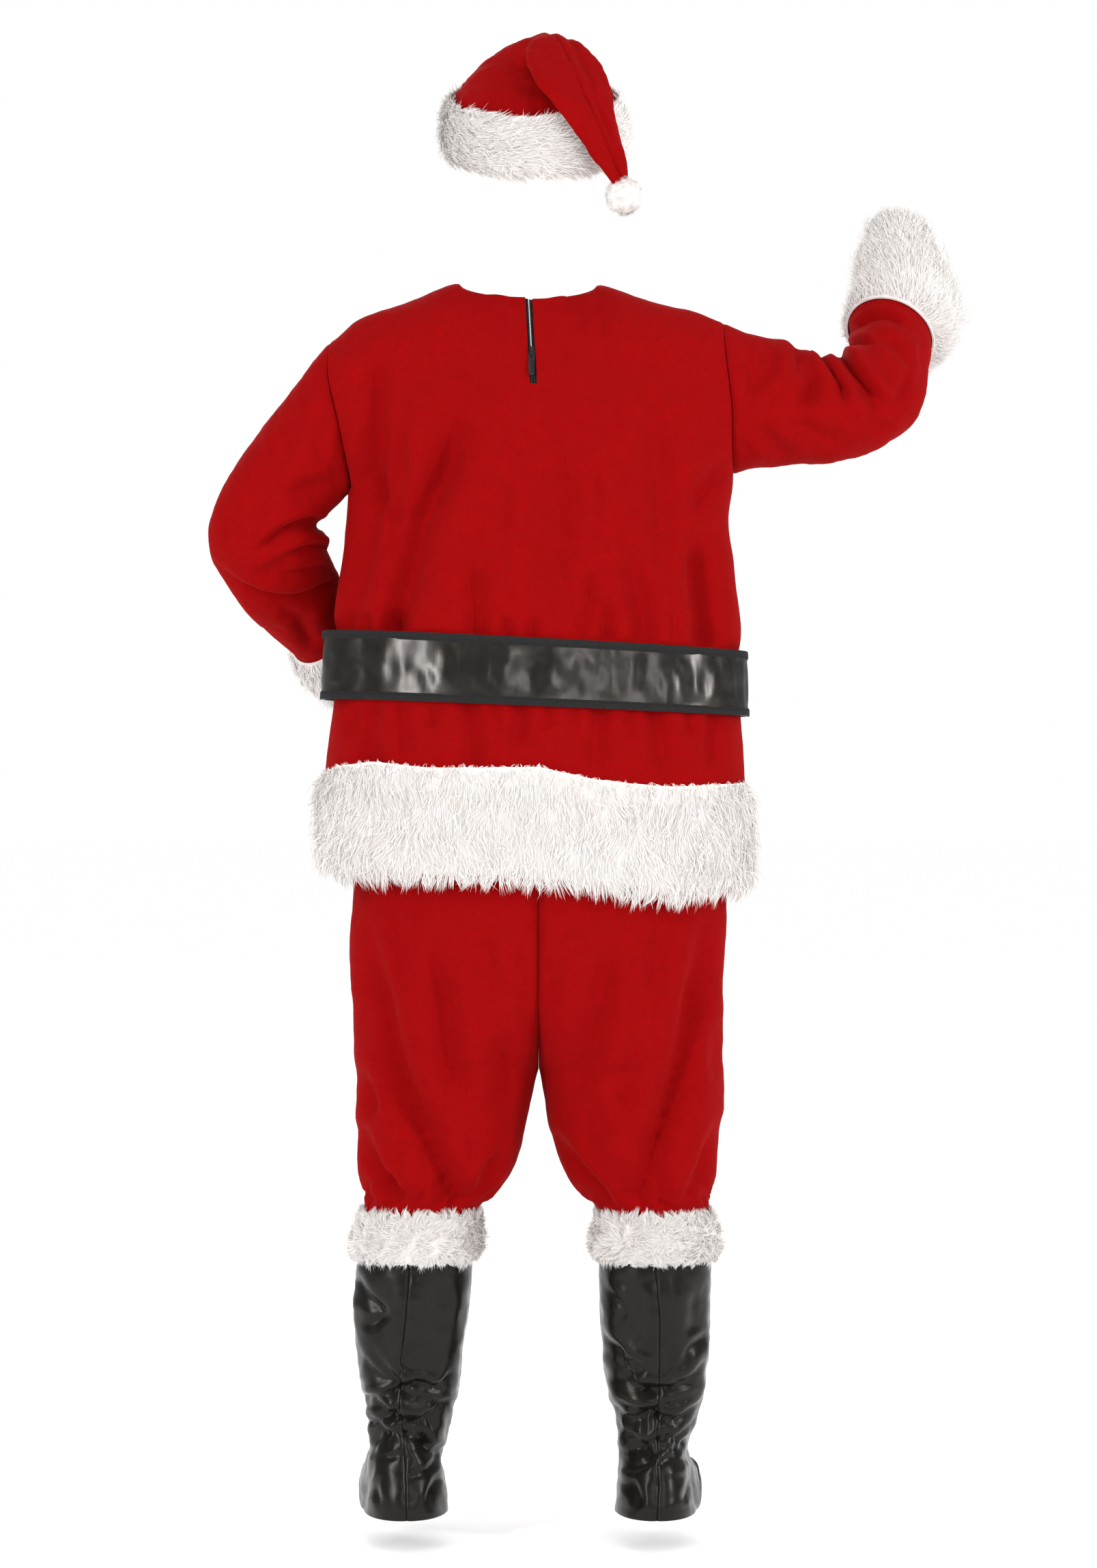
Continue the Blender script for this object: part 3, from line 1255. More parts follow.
def knee_furs(fur, finish):
    """Fur round the tops of the boot covers, over the tucked trouser ends."""
    def flow(v, turn, sway):
        up = 1.5 * (v - 0.45) + 0.25 * np.sin(9 * turn)
        ends = share(np.abs(v - 0.5), 0.3, 0.5)
        return 0.9 * sway + 0.5 * turn, up, 1 - np.where(v < 0.5, 0.6, 0.35) * ends

    for name, side, boot, leg, seed in (
        ("boot_fur_left", 1, LEFT_BOOT, LEFT_LEG, 64),
        ("boot_fur_right", -1, RIGHT_BOOT, RIGHT_LEG, 65),
    ):
        limb = []
        for source, heights, ease in ((boot, KNEE_BOOT_LEVELS, KNEE_BOOT_EASE),
                                      (leg, KNEE_LEG_LEVELS, KNEE_LEG_EASE)):
            for z in heights:
                row = at_value(source, np.float64(z))
                limb.append(Limb(row.z, row.inner - side * ease, row.outer + side * ease,
                                 row.back + ease, row.front - ease))
        part, turns = ringed("knee")
        rows = at_value(limb, KNEE_FUR_LOW + (KNEE_FUR_TOP - KNEE_FUR_LOW) * part)
        base = boot_points(rows, side, turns, 2 + 4.5 * np.sin(pi * part) ** 0.5)
        trim = Trim(name + "_pile", 17500 * fur.density, lock=7, length=fur.knee_length / MM,
                    stand=9, inside=0.4, ends=0.7, flow=flow, seed=seed)
        trim_piece(trim, boot_points(rows, side, turns), base, side, side < 0, finish, name)


# ----------------------------------------------------------------------- cap


def crown_points(row, turns, grow=0):
    """Points of a ring of the cap."""
    tip, swing = np.radians(row.turn), np.radians(row.swing)
    x = (row.wide + grow) * np.cos(turns)
    y = (row.deep + grow) * np.sin(turns)
    level_y = y * np.cos(tip)
    return points_of(row.x + x * np.cos(swing) - level_y * np.sin(swing),
                     row.y + x * np.sin(swing) + level_y * np.cos(swing),
                     row.z - y * np.sin(tip))


def cap_crown(finish):
    """The cap's red crown, folded over into its tail."""
    part, turns = ringed("crown")
    at = part * (len(CROWN) - 1)
    row = between(CROWN, at)
    grid = crown_points(row, turns)
    run, to_tip = from_ends(grid, 0)
    fade = share(run, 0, 12) * share(to_tip, 4, 26)
    gathers = np.sin(runs_along(grid, 1) / 6.3 + 2.2 * ripple(grid, 71))
    depth = 1.6 * fade * (hill(run - 14, 16) * gathers + ripple(grid, 72, 44))
    # Its two seams: their place in half turns, depth and width.
    for place, high, width in ((0.5, 1.4, 2.2), (1.5, 3.4, 3.2)):
        depth += high * hill((turns - pi * place) * row.wide, width) * share(to_tip, 0, 12)
    beside = hill((turns - pi * (1.27 + 0.015 * at)) * row.wide, 7)
    depth += 4 * beside * share(run, 70, 110) * share(to_tip, 10, 50)
    depth += 3 * hill(at - 5 - 0.5 * np.cos(turns), 0.33) * share(np.cos(turns), 0.1, 0.8)
    # The lower side of the folded tail lies close, with no hole between it and the crown.
    depth -= 3.4 * share(at, 3, 3.8) * share(at, 7.2, 6.4) * share(np.sin(turns), 0.1, 0.6)
    grid, normals = pressed(grid, grid_normals(grid, True), depth, True)
    return shell("cap_crown_cloth", grid, grid - normals * CLOTH, finish, around=True)


def cap_brim(fur, finish):
    """The fur band round the cap."""
    tilt = np.radians(BRIM_TILT)
    part, turns = ringed("brim")
    rise = (part * (BRIM_CLOTH[1] - BRIM_CLOTH[0]) + BRIM_CLOTH[0] - 0.5) * BRIM_TALL
    taper = -3 * share(part, 0.5, 1)
    row = Crown(BRIM[0], BRIM[1] + np.sin(tilt) * rise, BRIM[2] + np.cos(tilt) * rise,
                BRIM_TILT, 0, BRIM_WIDE + taper, BRIM_DEEP + taper)
    swell = share(part, -0.06, 0.22) * share(1 - part, -0.06, 0.22)

    def flow(v, turn, sway):
        up = 0.16 * turn + 0.3 * sway + 0.5 * share(v, 0.8, 1) - 0.55 * share(v, 0.25, 0)
        return 0.9 + 0.15 * turn, up, 1 - 0.3 * share(np.abs(v - 0.5), 0.35, 0.5)

    trim = Trim("cap_brim_pile", 31000 * fur.density, lock=7, length=fur.brim_length / MM,
                stand=6, inside=0.3, ends=0.6, flow=flow, seed=66)
    trim_piece(trim, crown_points(row, turns, SEAM),
               crown_points(row, turns, SEAM + 1.6 + 6.4 * swell), 1, False, finish,
               "cap_brim_fur")


def pompom(fur, finish):
    """A ball of dense fur on the cap's tip."""
    part, turns = ringed("pompom")
    level = (2 * part - 1) * pi * 0.49
    ball = points_of(np.cos(level) * np.cos(turns), np.cos(level) * np.sin(turns), np.sin(level))
    base = np.array(POMPOM) + ball * POMPOM_CORE
    base += ball * lumps(base, 74, 14)
    inner = np.array(POMPOM) + ball * (POMPOM_CORE - 5)
    core = shell("cap_pompom_core", base, inner, finish, around=True)
    settle(core, "white_fur", "cap_pompom")

    def flow(v, turn, sway):
        return 0.7 * turn, 0.7 * np.sin(7 * turn), 1

    reach = POMPOM_REACH - POMPOM_CORE
    trim = Trim("cap_pompom_pile", 7500 * fur.density, lock=5, length=reach + 3,
                stand=reach - 1, inside=0.3, ends=0.3, flow=flow, seed=67)
    settle(fur_pile(trim, base, 1, finish), "white_fur")


# ----------------------------------------------------------- belt and buckle


def belt_ring(levels):
    """Rings under the belt, their outward ways, and how far the belt bulges off there."""
    smooth = torso_ring(levels, 0, "belt")
    x = smooth[..., 0]
    stand = 13 * share(x, 205, 250) + 6 * share(-x, 210, 248)
    return smooth, unit(torso_ring(levels, 1, "belt") - smooth), stand


def belt_pieces(made):
    """The belt's vinyl panel with a woven binding along each edge."""
    # The panel's rows lie closer together along its edges.
    part = np.concatenate([[0, 0.02, 0.06], np.linspace(0.12, 0.88, 14), [0.94, 0.98, 1]])[:, None]
    smooth, normals, stand = belt_ring(BELT_LOW + (BELT_TOP - BELT_LOW) * part)
    across = 4 * part * (1 - part)
    flattened = smooth * np.array([1, 1, 0.4])
    dents = 2.2 * ripple(flattened, 81, 90) + 1.7 * ripple(flattened, 84, 40)
    edge = hill(part - 0.16, 0.05) + hill(part - 0.84, 0.05)
    run = runs_along(smooth, 1)
    pinch = 0.7 * edge * (0.5 + 0.5 * np.sin(run / 9 + 3 * ripple(smooth, 82, 90)))
    behind = share(normals[..., 1], -0.2, 0.3)
    swell = across * behind * (1.6 + dents * across ** 0.5) - pinch
    outer = smooth + normals * (SEAM + stand + BELT_THICK + swell)[..., None]
    inner = smooth + normals * (SEAM + stand + 0.9 * across)[..., None]
    panel = shell("belt_strap", outer, inner, made["gloss_vinyl"], around=True, flip=True)
    settle(panel, "black_vinyl", "belt_panel")
    for name, low, seam in (("belt_binding_lower", BELT_LOW, 0.74),
                            ("belt_binding_upper", BELT_TOP - BINDING_TALL, 0.26)):
        part, _ = ringed("belt")
        smooth, normals, stand = belt_ring(low + BINDING_TALL * part)
        pad = 2 * SEAM + BELT_THICK + stand
        swell = BINDING_THICK * (0.55 + 0.45 * np.sin(pi * part) ** 0.5)
        swell = swell + 0.25 * ripple(smooth, 83, 24)
        outer = smooth + normals * (pad + swell)[..., None]
        tape = shell(name + "_tape", outer, smooth + normals * pad[..., None],
                     made["woven_tape"], around=True, flip=True)
        settle(tape, "black_binding", name)
        stitches(name + "_stitches", outer, normals, seam, made["sewing_thread"])


def stitches(name, grid, normals, across, finish, step=4, size=2.6, thick=0.384):
    """A row of small stitches along a strip, each a tube that dips in at both ends."""
    at = across * (grid.shape[0] - 1)
    low = int(at)
    ring, ways = (each[low] * (1 - at + low) + each[low + 1] * (at - low)
                  for each in (grid, normals))
    ring, ways = np.concatenate([ring, ring[:1]]), np.concatenate([ways, ways[:1]])
    run = runs_along(ring, 0)
    count = int(run[-1] / step)
    at = np.arange(count) * run[-1] / count
    middle = at_lengths(at, run, ring)
    out = unit(at_lengths(at, run, ways))
    along = unit(at_lengths(at + 0.5, run, ring) - middle + 1e-9)
    side = unit(np.cross(out, along))
    corners = []
    for t, lift, wide in ((-0.5, -0.25, 0.4), (-0.3, 0.12, 1), (0.3, 0.12, 1), (0.5, -0.25, 0.4)):
        for turn in np.arange(4) * pi / 2 + pi / 4:
            round_it = (side * np.cos(turn) + out * np.sin(turn)) * thick * wide
            corners.append(middle + along * (t * size) + out * lift + round_it)
    faces = [[3, 2, 1, 0], [12, 13, 14, 15]] + tube_faces(3)
    settle(many(name, corners, faces, finish, True), "black_binding")


def tube_faces(rings):
    """Faces of a four-sided tube between rings of four points."""
    beside = [(a, a - a % 4 + (a + 1) % 4) for a in range(4 * rings)]
    return [[a, b, b + 4, a + 4] for a, b in beside]


def bevelled(piece, width):
    """Round off a hard piece's edges, with its faces kept true."""
    bevel = piece.modifiers.new("Rounded edges", "BEVEL")
    bevel.width = width * MM
    bevel.segments = 3
    bevel.limit_method = "ANGLE"
    bevel.angle_limit = BEVEL_EDGE
    bevel.harden_normals = True
    bpy.context.view_layer.update()
    solid = piece.evaluated_get(bpy.context.evaluated_depsgraph_get())
    old, piece.data = piece.data, bpy.data.meshes.new_from_object(solid)
    piece.modifiers.clear()
    bpy.data.meshes.remove(old)
    return piece


def buckle(finish):
    """Square frame and prong on the front of the belt."""
    front = torso_low(np.float64(0), BELT_LOW, False)[1]
    face = front - 3 * SEAM - BELT_THICK - BINDING_THICK
    xs, zs = (np.array([-half, BUCKLE_BAR - half, -PRONG_WIDE / 2,
                        PRONG_WIDE / 2, half - BUCKLE_BAR, half])
              for half in (BUCKLE_WIDE / 2, BUCKLE_TALL / 2))
    height = (BELT_LOW + BELT_TOP) / 2 + zs[:, None]
    outer, inner = (points_of(xs[None, :], y, height) for y in (face - BUCKLE_THICK, face))
    bare = np.zeros((5, 5), bool)
    bare[[1, 3], 1:4] = True
    piece = bevelled(shell("belt_buckle_frame", outer, inner, finish, bare=bare), 1.5)
    settle(piece, "buckle_metal", "belt_buckle")


# ----------------------------------------------------------------------- zip


def zip_pieces(made):
    """Both tapes with their teeth, the slider and the pull tab."""
    grid, spans, low_rows, steps = jacket_surface(True)
    normals = grid_normals(grid, False, -1)
    picks = [int(np.argmin(np.abs(spans - s / BACK_HALF)))
             for s in (-TAPE_HALF, -SLIT_HALF, SLIT_HALF, TAPE_HALF)]
    first = low_rows + int(np.argmin(np.abs(steps - (SLIT_STEP - 0.75))))
    a, b, c, d = np.moveaxis(grid[first:, picks] - normals[first:, picks] * (CLOTH + SEAM), 1, 0)
    ways = normals[first:, picks[1]]
    split = TAPE_SPLIT / (2 * SLIT_HALF)
    right, left = ((b * (0.5 + off) + c * (0.5 - off)) for off in (split, -split))
    for name, columns, edge, toward in (("zip_tape_right", [a, b, right], right, 1),
                                        ("zip_tape_left", [left, c, d], left, -1)):
        outer = np.stack(columns, 1)
        tape = shell(name + "_cloth", outer, outer - ways[:, None] * TAPE_THICK,
                     made["woven_tape"], flip=True)
        settle(tape, "black_binding", name)
        teeth(name + "_teeth", edge, ways, toward, made["black_zip"])
    slider((right + left) / 2, made["black_zip"])


def teeth(name, edge, ways, toward, finish):
    """Small moulded teeth along a tape's inner edge."""
    run = runs_along(edge, 0)
    at = np.arange(TEETH_START[toward > 0], run[-1] - TEETH_END, TEETH_STEP)
    middle = at_lengths(at, run, edge)
    out = unit(at_lengths(at, run, ways))
    up = unit(at_lengths(at + 0.5, run, edge) - middle)
    side = unit(np.cross(up, out))
    side *= np.sign(side[:, :1] * toward)
    # Rings of four points, from the tooth's root to its head: place, height and half length.
    corners = [middle + side * s + up * u + out * (n + 0.02)
               for s, reach, tall in ((-2.3, 0.45, 0.5), (-0.2, 0.7, 0.62), (0.55, 0.55, 0.42))
               for u, n in ((-tall, 0), (tall, 0), (tall * 0.7, reach), (-tall * 0.7, reach))]
    faces = tube_faces(2) + [[3, 2, 1, 0], [8, 9, 10, 11]]
    settle(many(name, corners, faces, finish, False, toward < 0), "zip_metal")


def blocks(name, place, up, out, xs, ts, ns, filled, finish):
    """A closed solid of the filled cells of a small grid; place is its origin."""
    side = np.array([1, 0, 0])
    numbered, points, faces = {}, [], []
    ways = (
        ((-1, 0, 0), ((0, 0, 0), (0, 0, 1), (0, 1, 1), (0, 1, 0))),
        ((1, 0, 0), ((1, 0, 0), (1, 1, 0), (1, 1, 1), (1, 0, 1))),
        ((0, -1, 0), ((0, 0, 0), (1, 0, 0), (1, 0, 1), (0, 0, 1))),
        ((0, 1, 0), ((0, 1, 0), (0, 1, 1), (1, 1, 1), (1, 1, 0))),
        ((0, 0, -1), ((0, 0, 0), (0, 1, 0), (1, 1, 0), (1, 0, 0))),
        ((0, 0, 1), ((0, 0, 1), (1, 0, 1), (1, 1, 1), (0, 1, 1))),
    )
    for i, j, k in sorted(filled):
        for (di, dj, dk), ring in ways:
            if (i + di, j + dj, k + dk) in filled:
                continue
            face = []
            for a, b, c in ring:
                key = (i + a, j + b, k + c)
                if key not in numbered:
                    numbered[key] = len(points)
                    points.append(place + side * xs[key[0]] + up * ts[key[1]] + out * ns[key[2]])
                face.append(numbered[key])
            faces.append(face)
    faces = np.array(faces)
    if np.dot(np.cross(side, up), out) < 0:
        faces = faces[:, ::-1]
    return mesh_piece(name, np.array(points), faces, finish, smooth=False)


def slider(middle, finish):
    """The slider's plate and bridge, and the pull tab that turns under the bridge."""
    base, low, high = (at_lengths(SLIDER_Z + rise, middle[:, 2], middle) for rise in (0, -12, 12))
    up = unit((high - low) * np.array([0, 1, 1]))
    out = unit(-np.cross(np.array([1, 0, 0]), up))
    base = base + out * SEAM
    half_x, half_b, half_t, half_r = (
        size / 2 for size in (SLIDER_WIDE, BRIDGE_WIDE, SLIDER_TALL, BRIDGE_TALL))
    under = SLIDER_BASE + BRIDGE_RISE
    filled = {(i, j, 0) for i in range(3) for j in range(5)}
    filled |= {(1, 1, 1), (1, 3, 1), (1, 1, 2), (1, 2, 2), (1, 3, 2)}
    body = blocks("zip_slider_body", base, up, out, [-half_x, -half_b, half_b, half_x],
                  [-half_t, -half_r, BRIDGE_POST - half_r, half_r - BRIDGE_POST, half_r, half_t],
                  [0, SLIDER_BASE, under, under + BRIDGE_THICK], filled, finish)
    settle(bevelled(body, 0.5), "zip_metal", "zip_slider")
    half_x, half_s, half_n = PULL_WIDE / 2, PULL_SLOT / 2, PULL_THICK / 2
    filled = {(i, j, 0) for i in range(3) for j in range(4)}
    filled -= {(0, 0, 0), (2, 0, 0), (1, 2, 0)}
    pull = blocks("zip_pull_tab", base + out * (SLIDER_BASE + BRIDGE_RISE / 2), up, out,
                  [-half_x, -half_s, half_s, half_x],
                  [-PULL_LENGTH, PULL_TIP - PULL_LENGTH, -PULL_SLOT_LONG, -half_n, half_n],
                  [-half_n, half_n], filled, finish)
    settle(bevelled(pull, 0.3), "zip_metal", "zip_pull", body=PULL_BODY)


# ------------------------------------------------------------------ finishes


def feed(tree, node, inputs):
    """Set a node's inputs, each to a value or from another node's output."""
    for key, value in inputs.items():
        if isinstance(value, bpy.types.NodeSocket):
            tree.links.new(value, node.inputs[key])
        else:
            node.inputs[key].default_value = value


def part_node(tree, kind, inputs=None, **settings):
    """One shader node with its settings and its inputs."""
    made = tree.nodes.new(kind)
    for key, value in settings.items():
        setattr(made, key, value)
    feed(tree, made, inputs or {})
    return made


def grain(tree, scale, detail=2, stretch=(1, 1, 1)):
    """Noise fixed to the cloth itself, as a value from 0 to 1."""
    where = part_node(tree, "ShaderNodeTexCoord").outputs["Object"]
    sized = part_node(tree, "ShaderNodeMapping", {"Scale": stretch, "Vector": where}).outputs[0]
    return part_node(tree, "ShaderNodeTexNoise",
                     {"Scale": scale, "Detail": detail, "Vector": sized}).outputs[0]


def ridges(tree, scale, direction):
    """Fine parallel ribs, as a value from 0 to 1."""
    where = part_node(tree, "ShaderNodeTexCoord").outputs["Object"]
    inputs = {"Scale": scale, "Distortion": 0.4, "Vector": where}
    return part_node(tree, "ShaderNodeTexWave", inputs, bands_direction=direction).outputs[1]


def mixed(tree, amount, dark, light):
    """A colour between two others; each may be a colour or another node's output."""
    dark, light = (way if isinstance(way, bpy.types.NodeSocket) else (*way, 1)
                   for way in (dark, light))
    return part_node(tree, "ShaderNodeMix", {0: amount, 6: dark, 7: light},
                     data_type="RGBA").outputs[2]


def ranged(tree, amount, low, high, low_out=0, high_out=1):
    """A value carried from one range to another."""
    return part_node(tree, "ShaderNodeMapRange",
                     {0: amount, 1: low, 2: high, 3: low_out, 4: high_out}).outputs[0]


def relief(tree, height, distance, strength, under=None):
    """Bump of a height in metres over another bump."""
    inputs = {"Distance": distance, "Strength": strength, "Height": height}
    if under is not None:
        inputs["Normal"] = under
    return part_node(tree, "ShaderNodeBump", inputs).outputs[0]


def times(colour, factor):
    """A colour made darker or lighter."""
    return tuple(min(part * factor, 1) for part in colour)


def new_finish(name):
    """A material, its nodes and its main shader."""
    surface = bpy.data.materials.new(name)
    surface.use_nodes = True
    return surface, surface.node_tree, surface.node_tree.nodes["Principled BSDF"]


def fleece_finish(colour):
    """Napped red cloth, brushed unevenly, with a soft sheen."""
    _, tree, shader = new_finish("napped_fleece")
    brushed = mixed(tree, ranged(tree, grain(tree, 55, 3), 0.3, 0.7),
                    times(colour, 0.88), times(colour, 1.07))
    nap = grain(tree, 950, 2, (1, 1, 0.55))
    feed(tree, shader, {
        "Sheen Weight": 0.12, "Sheen Roughness": 0.5, "Sheen Tint": (1, 0.04, 0.04, 1),
        "Specular IOR Level": 0.03,
        "Base Color": mixed(tree, ranged(tree, nap, 0.35, 0.7), times(colour, 0.86), brushed),
        "Roughness": ranged(tree, grain(tree, 140), 0.3, 0.7, 0.82, 0.98),
        "Normal": relief(tree, nap, 0.0006, 0.7, relief(tree, grain(tree, 90, 3), 0.0012, 0.2)),
    })


def fur_finish(name, colour):
    """White long pile, a little greyer at the roots and from lock to lock."""
    _, tree, shader = new_finish(name)
    root = tuple(c * f for c, f in zip(colour, (0.93, 0.915, 0.91)))
    reach, lock = (part_node(tree, "ShaderNodeAttribute", attribute_name=key).outputs["Fac"]
                   for key in ("tip", "lock"))
    along = mixed(tree, ranged(tree, reach, 0, 0.8), root, colour)
    tinted = mixed(tree, ranged(tree, lock, 0, 1, 0, 0.3), along, root)
    fluff = ranged(tree, grain(tree, 420), 0.35, 0.65, 0, 0.16)
    feed(tree, shader, {
        "Sheen Weight": 0.2, "Sheen Roughness": 0.6, "Specular IOR Level": 0.2,
        "Roughness": 0.85, "Base Color": mixed(tree, fluff, tinted, root),
        "Normal": relief(tree, grain(tree, 600, 3), 0.0006, 0.5),
    })


def vinyl_finish(name, colour, gloss, rough):
    """Glossy black vinyl with a fine grain and soft dents."""
    _, tree, shader = new_finish(name)
    shade = mixed(tree, grain(tree, 38, 3), times(colour, 0.7), times(colour, 1.6))
    rough = ranged(tree, grain(tree, 60, 4), 0.3, 0.7, rough, rough + 0.1)
    dents = relief(tree, grain(tree, 24, 2, (1, 1, 0.5)), 0.003, 0.3)
    feed(tree, shader, {
        "Specular IOR Level": gloss, "Specular Tint": (1, 0.95, 0.9, 1), "Base Color": shade,
        "Roughness": rough, "Normal": relief(tree, grain(tree, 1500, 1), 0.0002, 0.25, dents),
    })


def woven_finish(name, colour, rib):
    """Matt woven tape or thread."""
    _, tree, shader = new_finish(name)
    shade = mixed(tree, grain(tree, 260), colour, times(colour, 2.2))
    rough = ranged(tree, grain(tree, 300), 0.3, 0.7, 0.78, 0.95)
    across = relief(tree, ridges(tree, rib, "X"), 0.0004, 0.6)
    feed(tree, shader, {
        "Specular IOR Level": 0.25, "Base Color": shade, "Roughness": rough,
        "Normal": relief(tree, ridges(tree, rib * 1.2, "Z"), 0.0004, 0.6, across),
    })


def metal_finish(name, colour, metallic, smooth, worn):
    """Pressed or moulded metal, lightly rubbed."""
    _, tree, shader = new_finish(name)
    shade = mixed(tree, ranged(tree, grain(tree, 70, 5), 0.35, 0.75), colour, worn)
    streaks = grain(tree, 160, 4, (1, 1, 9))
    feed(tree, shader, {
        "Metallic": metallic, "Specular IOR Level": 0.5, "Base Color": shade,
        "Roughness": ranged(tree, streaks, 0.3, 0.7, smooth, smooth + 0.16),
        "Normal": relief(tree, streaks, 0.0001, 0.4),
    })


def finishes(scene):
    """Every finish by its name, made once."""
    hard = scene.suit_trim
    if "napped_fleece" not in bpy.data.materials:
        fleece_finish(tuple(scene.suit_cloth.red))
        white = tuple(scene.suit_fur.white)
        fur_finish("long_pile", white)
        fur_finish("cap_pile", times(white, CAP_PILE_LIGHTER))
        vinyl_finish("gloss_vinyl", tuple(hard.vinyl), 0.52, 0.17)
        vinyl_finish("boot_vinyl", tuple(hard.vinyl), 0.2, 0.22)
        woven_finish("woven_tape", tuple(hard.binding), 420)
        woven_finish("sewing_thread", tuple(hard.binding), 1400)
        metal_finish("rubbed_brass", tuple(hard.brass), 1, 0.2, (0.86, 0.72, 0.42))
        metal_finish("black_zip", tuple(hard.zip_black), 0.5, 0.32, (0.05, 0.05, 0.055))
    return bpy.data.materials


# ------------------------------------------------------------------ settings

COLOUR = {"subtype": "COLOR", "size": 3, "min": 0.0, "max": 1.0}
LENGTH = {"subtype": "DISTANCE", "unit": "LENGTH", "precision": 4}
RELIEF = {"min": 0.0, "max": 0.003, **LENGTH}
HAIR = {"min": 0.008, "max": 0.04, **LENGTH}


class SuitCloth(bpy.types.PropertyGroup):
    """The red cloth."""

    red: bpy.props.FloatVectorProperty(
        name="Red", description="Colour of the napped cloth",
        default=(0.238, 0.0015, 0.002), **COLOUR)
    fold_strength: bpy.props.FloatProperty(
        name="Folds", description="Depth of the folds, as a share of the usual",
        subtype="FACTOR", min=0.0, max=2.0, default=1.4)
    unevenness: bpy.props.FloatProperty(
        name="Unevenness", description="Height of the soft waves between the folds",
        default=0.0006, **RELIEF)
    seam_depth: bpy.props.FloatProperty(
        name="Seams", description="How deep the cloth rolls in at its seams",
        default=0.0015, **RELIEF)


class SuitFur(bpy.types.PropertyGroup):
    """The white fur."""

    white: bpy.props.FloatVectorProperty(
        name="White", description="Colour of the fur's tips",
        default=(0.735, 0.71, 0.69), **COLOUR)
    density: bpy.props.FloatProperty(
        name="Density", description="Number of hairs, as a share of the usual",
        subtype="FACTOR", min=0.1, max=1.0, default=1.0)
    hem_length: bpy.props.FloatProperty(
        name="Hem", description="Length of the hem's fur", default=0.028, **HAIR)
    cuff_length: bpy.props.FloatProperty(
        name="Cuffs", description="Length of the cuffs' fur", default=0.028, **HAIR)
    knee_length: bpy.props.FloatProperty(
        name="Knees", description="Length of the fur on the boot covers", default=0.022, **HAIR)
    brim_length: bpy.props.FloatProperty(
        name="Brim", description="Length of the cap's fur", default=0.026, **HAIR)


class SuitTrim(bpy.types.PropertyGroup):
    """Belt, boot covers and metal."""

    vinyl: bpy.props.FloatVectorProperty(
        name="Vinyl", description="Colour of the belt and the boot covers",
        default=(0.006, 0.0047, 0.0038), **COLOUR)
    binding: bpy.props.FloatVectorProperty(
        name="Binding", description="Colour of the woven bindings and zip tapes",
        default=(0.009, 0.009, 0.009), **COLOUR)
    brass: bpy.props.FloatVectorProperty(
        name="Buckle", description="Colour of the buckle", default=(0.78, 0.57, 0.24), **COLOUR)
    zip_black: bpy.props.FloatVectorProperty(
        name="Zip", description="Colour of the zip's teeth, slider and pull",
        default=(0.016, 0.016, 0.018), **COLOUR)


class SuitStage(bpy.types.PropertyGroup):
    """Floor and light."""

    floor: bpy.props.FloatVectorProperty(
        name="Floor", description="Colour of the floor", default=(0.99, 0.99, 0.99), **COLOUR)
    light: bpy.props.FloatProperty(
        name="Light", description="Strength of the studio light, as a share of the usual",
        subtype="FACTOR", min=0.1, max=3.0, default=1.0)


# ----------------------------------------------------------------- operators


class SUIT_OT_jacket(bpy.types.Operator):
    """Make the jacket's back and front"""

    bl_idname = "suit.jacket"
    bl_label = "Jacket"

    def execute(self, context):
        red = finishes(context.scene)["napped_fleece"]
        for node, back in (("jacket_back", True), ("jacket_front", False)):
            piece = jacket_panel(node + "_cloth", back, context.scene.suit_cloth, red)
            settle_cut(piece, "red_fleece", node)
        return {"FINISHED"}


class SUIT_OT_sleeves(bpy.types.Operator):
    """Make both sleeves"""

    bl_idname = "suit.sleeves"
    bl_label = "Sleeves"

    def execute(self, context):
        red = finishes(context.scene)["napped_fleece"]
        for node, *shape in (
            ("sleeve_left", True, LEFT_SLEEVE, LEFT_SLEEVE_FOLDS),
            ("sleeve_right", False, RIGHT_SLEEVE, RIGHT_SLEEVE_FOLDS),
        ):
            piece = sleeve_piece(node + "_cloth", *shape, context.scene.suit_cloth, red)
            settle_cut(piece, "red_fleece", node)
        return {"FINISHED"}


class SUIT_OT_belt(bpy.types.Operator):
    """Make the belt with its bindings and buckle"""

    bl_idname = "suit.belt"
    bl_label = "Belt"

    def execute(self, context):
        made = finishes(context.scene)
        belt_pieces(made)
        buckle(made["rubbed_brass"])
        return {"FINISHED"}


class SUIT_OT_zip(bpy.types.Operator):
    """Make the back neck zip with its slider and pull tab"""

    bl_idname = "suit.zip"
    bl_label = "Zip"

    def execute(self, context):
        zip_pieces(finishes(context.scene))
        return {"FINISHED"}


class SUIT_OT_trousers(bpy.types.Operator):
    """Make both trouser legs"""

    bl_idname = "suit.trousers"
    bl_label = "Trousers"

    def execute(self, context):
        red = finishes(context.scene)["napped_fleece"]
        for node, *shape in (
            ("trouser_leg_left", 1, LEFT_LEG, LEFT_LEG_FOLDS),
            ("trouser_leg_right", -1, RIGHT_LEG, RIGHT_LEG_FOLDS),
        ):
            piece = trouser_leg(node + "_cloth", *shape, context.scene.suit_cloth, red)
            settle_cut(piece, "red_fleece", node)
        return {"FINISHED"}


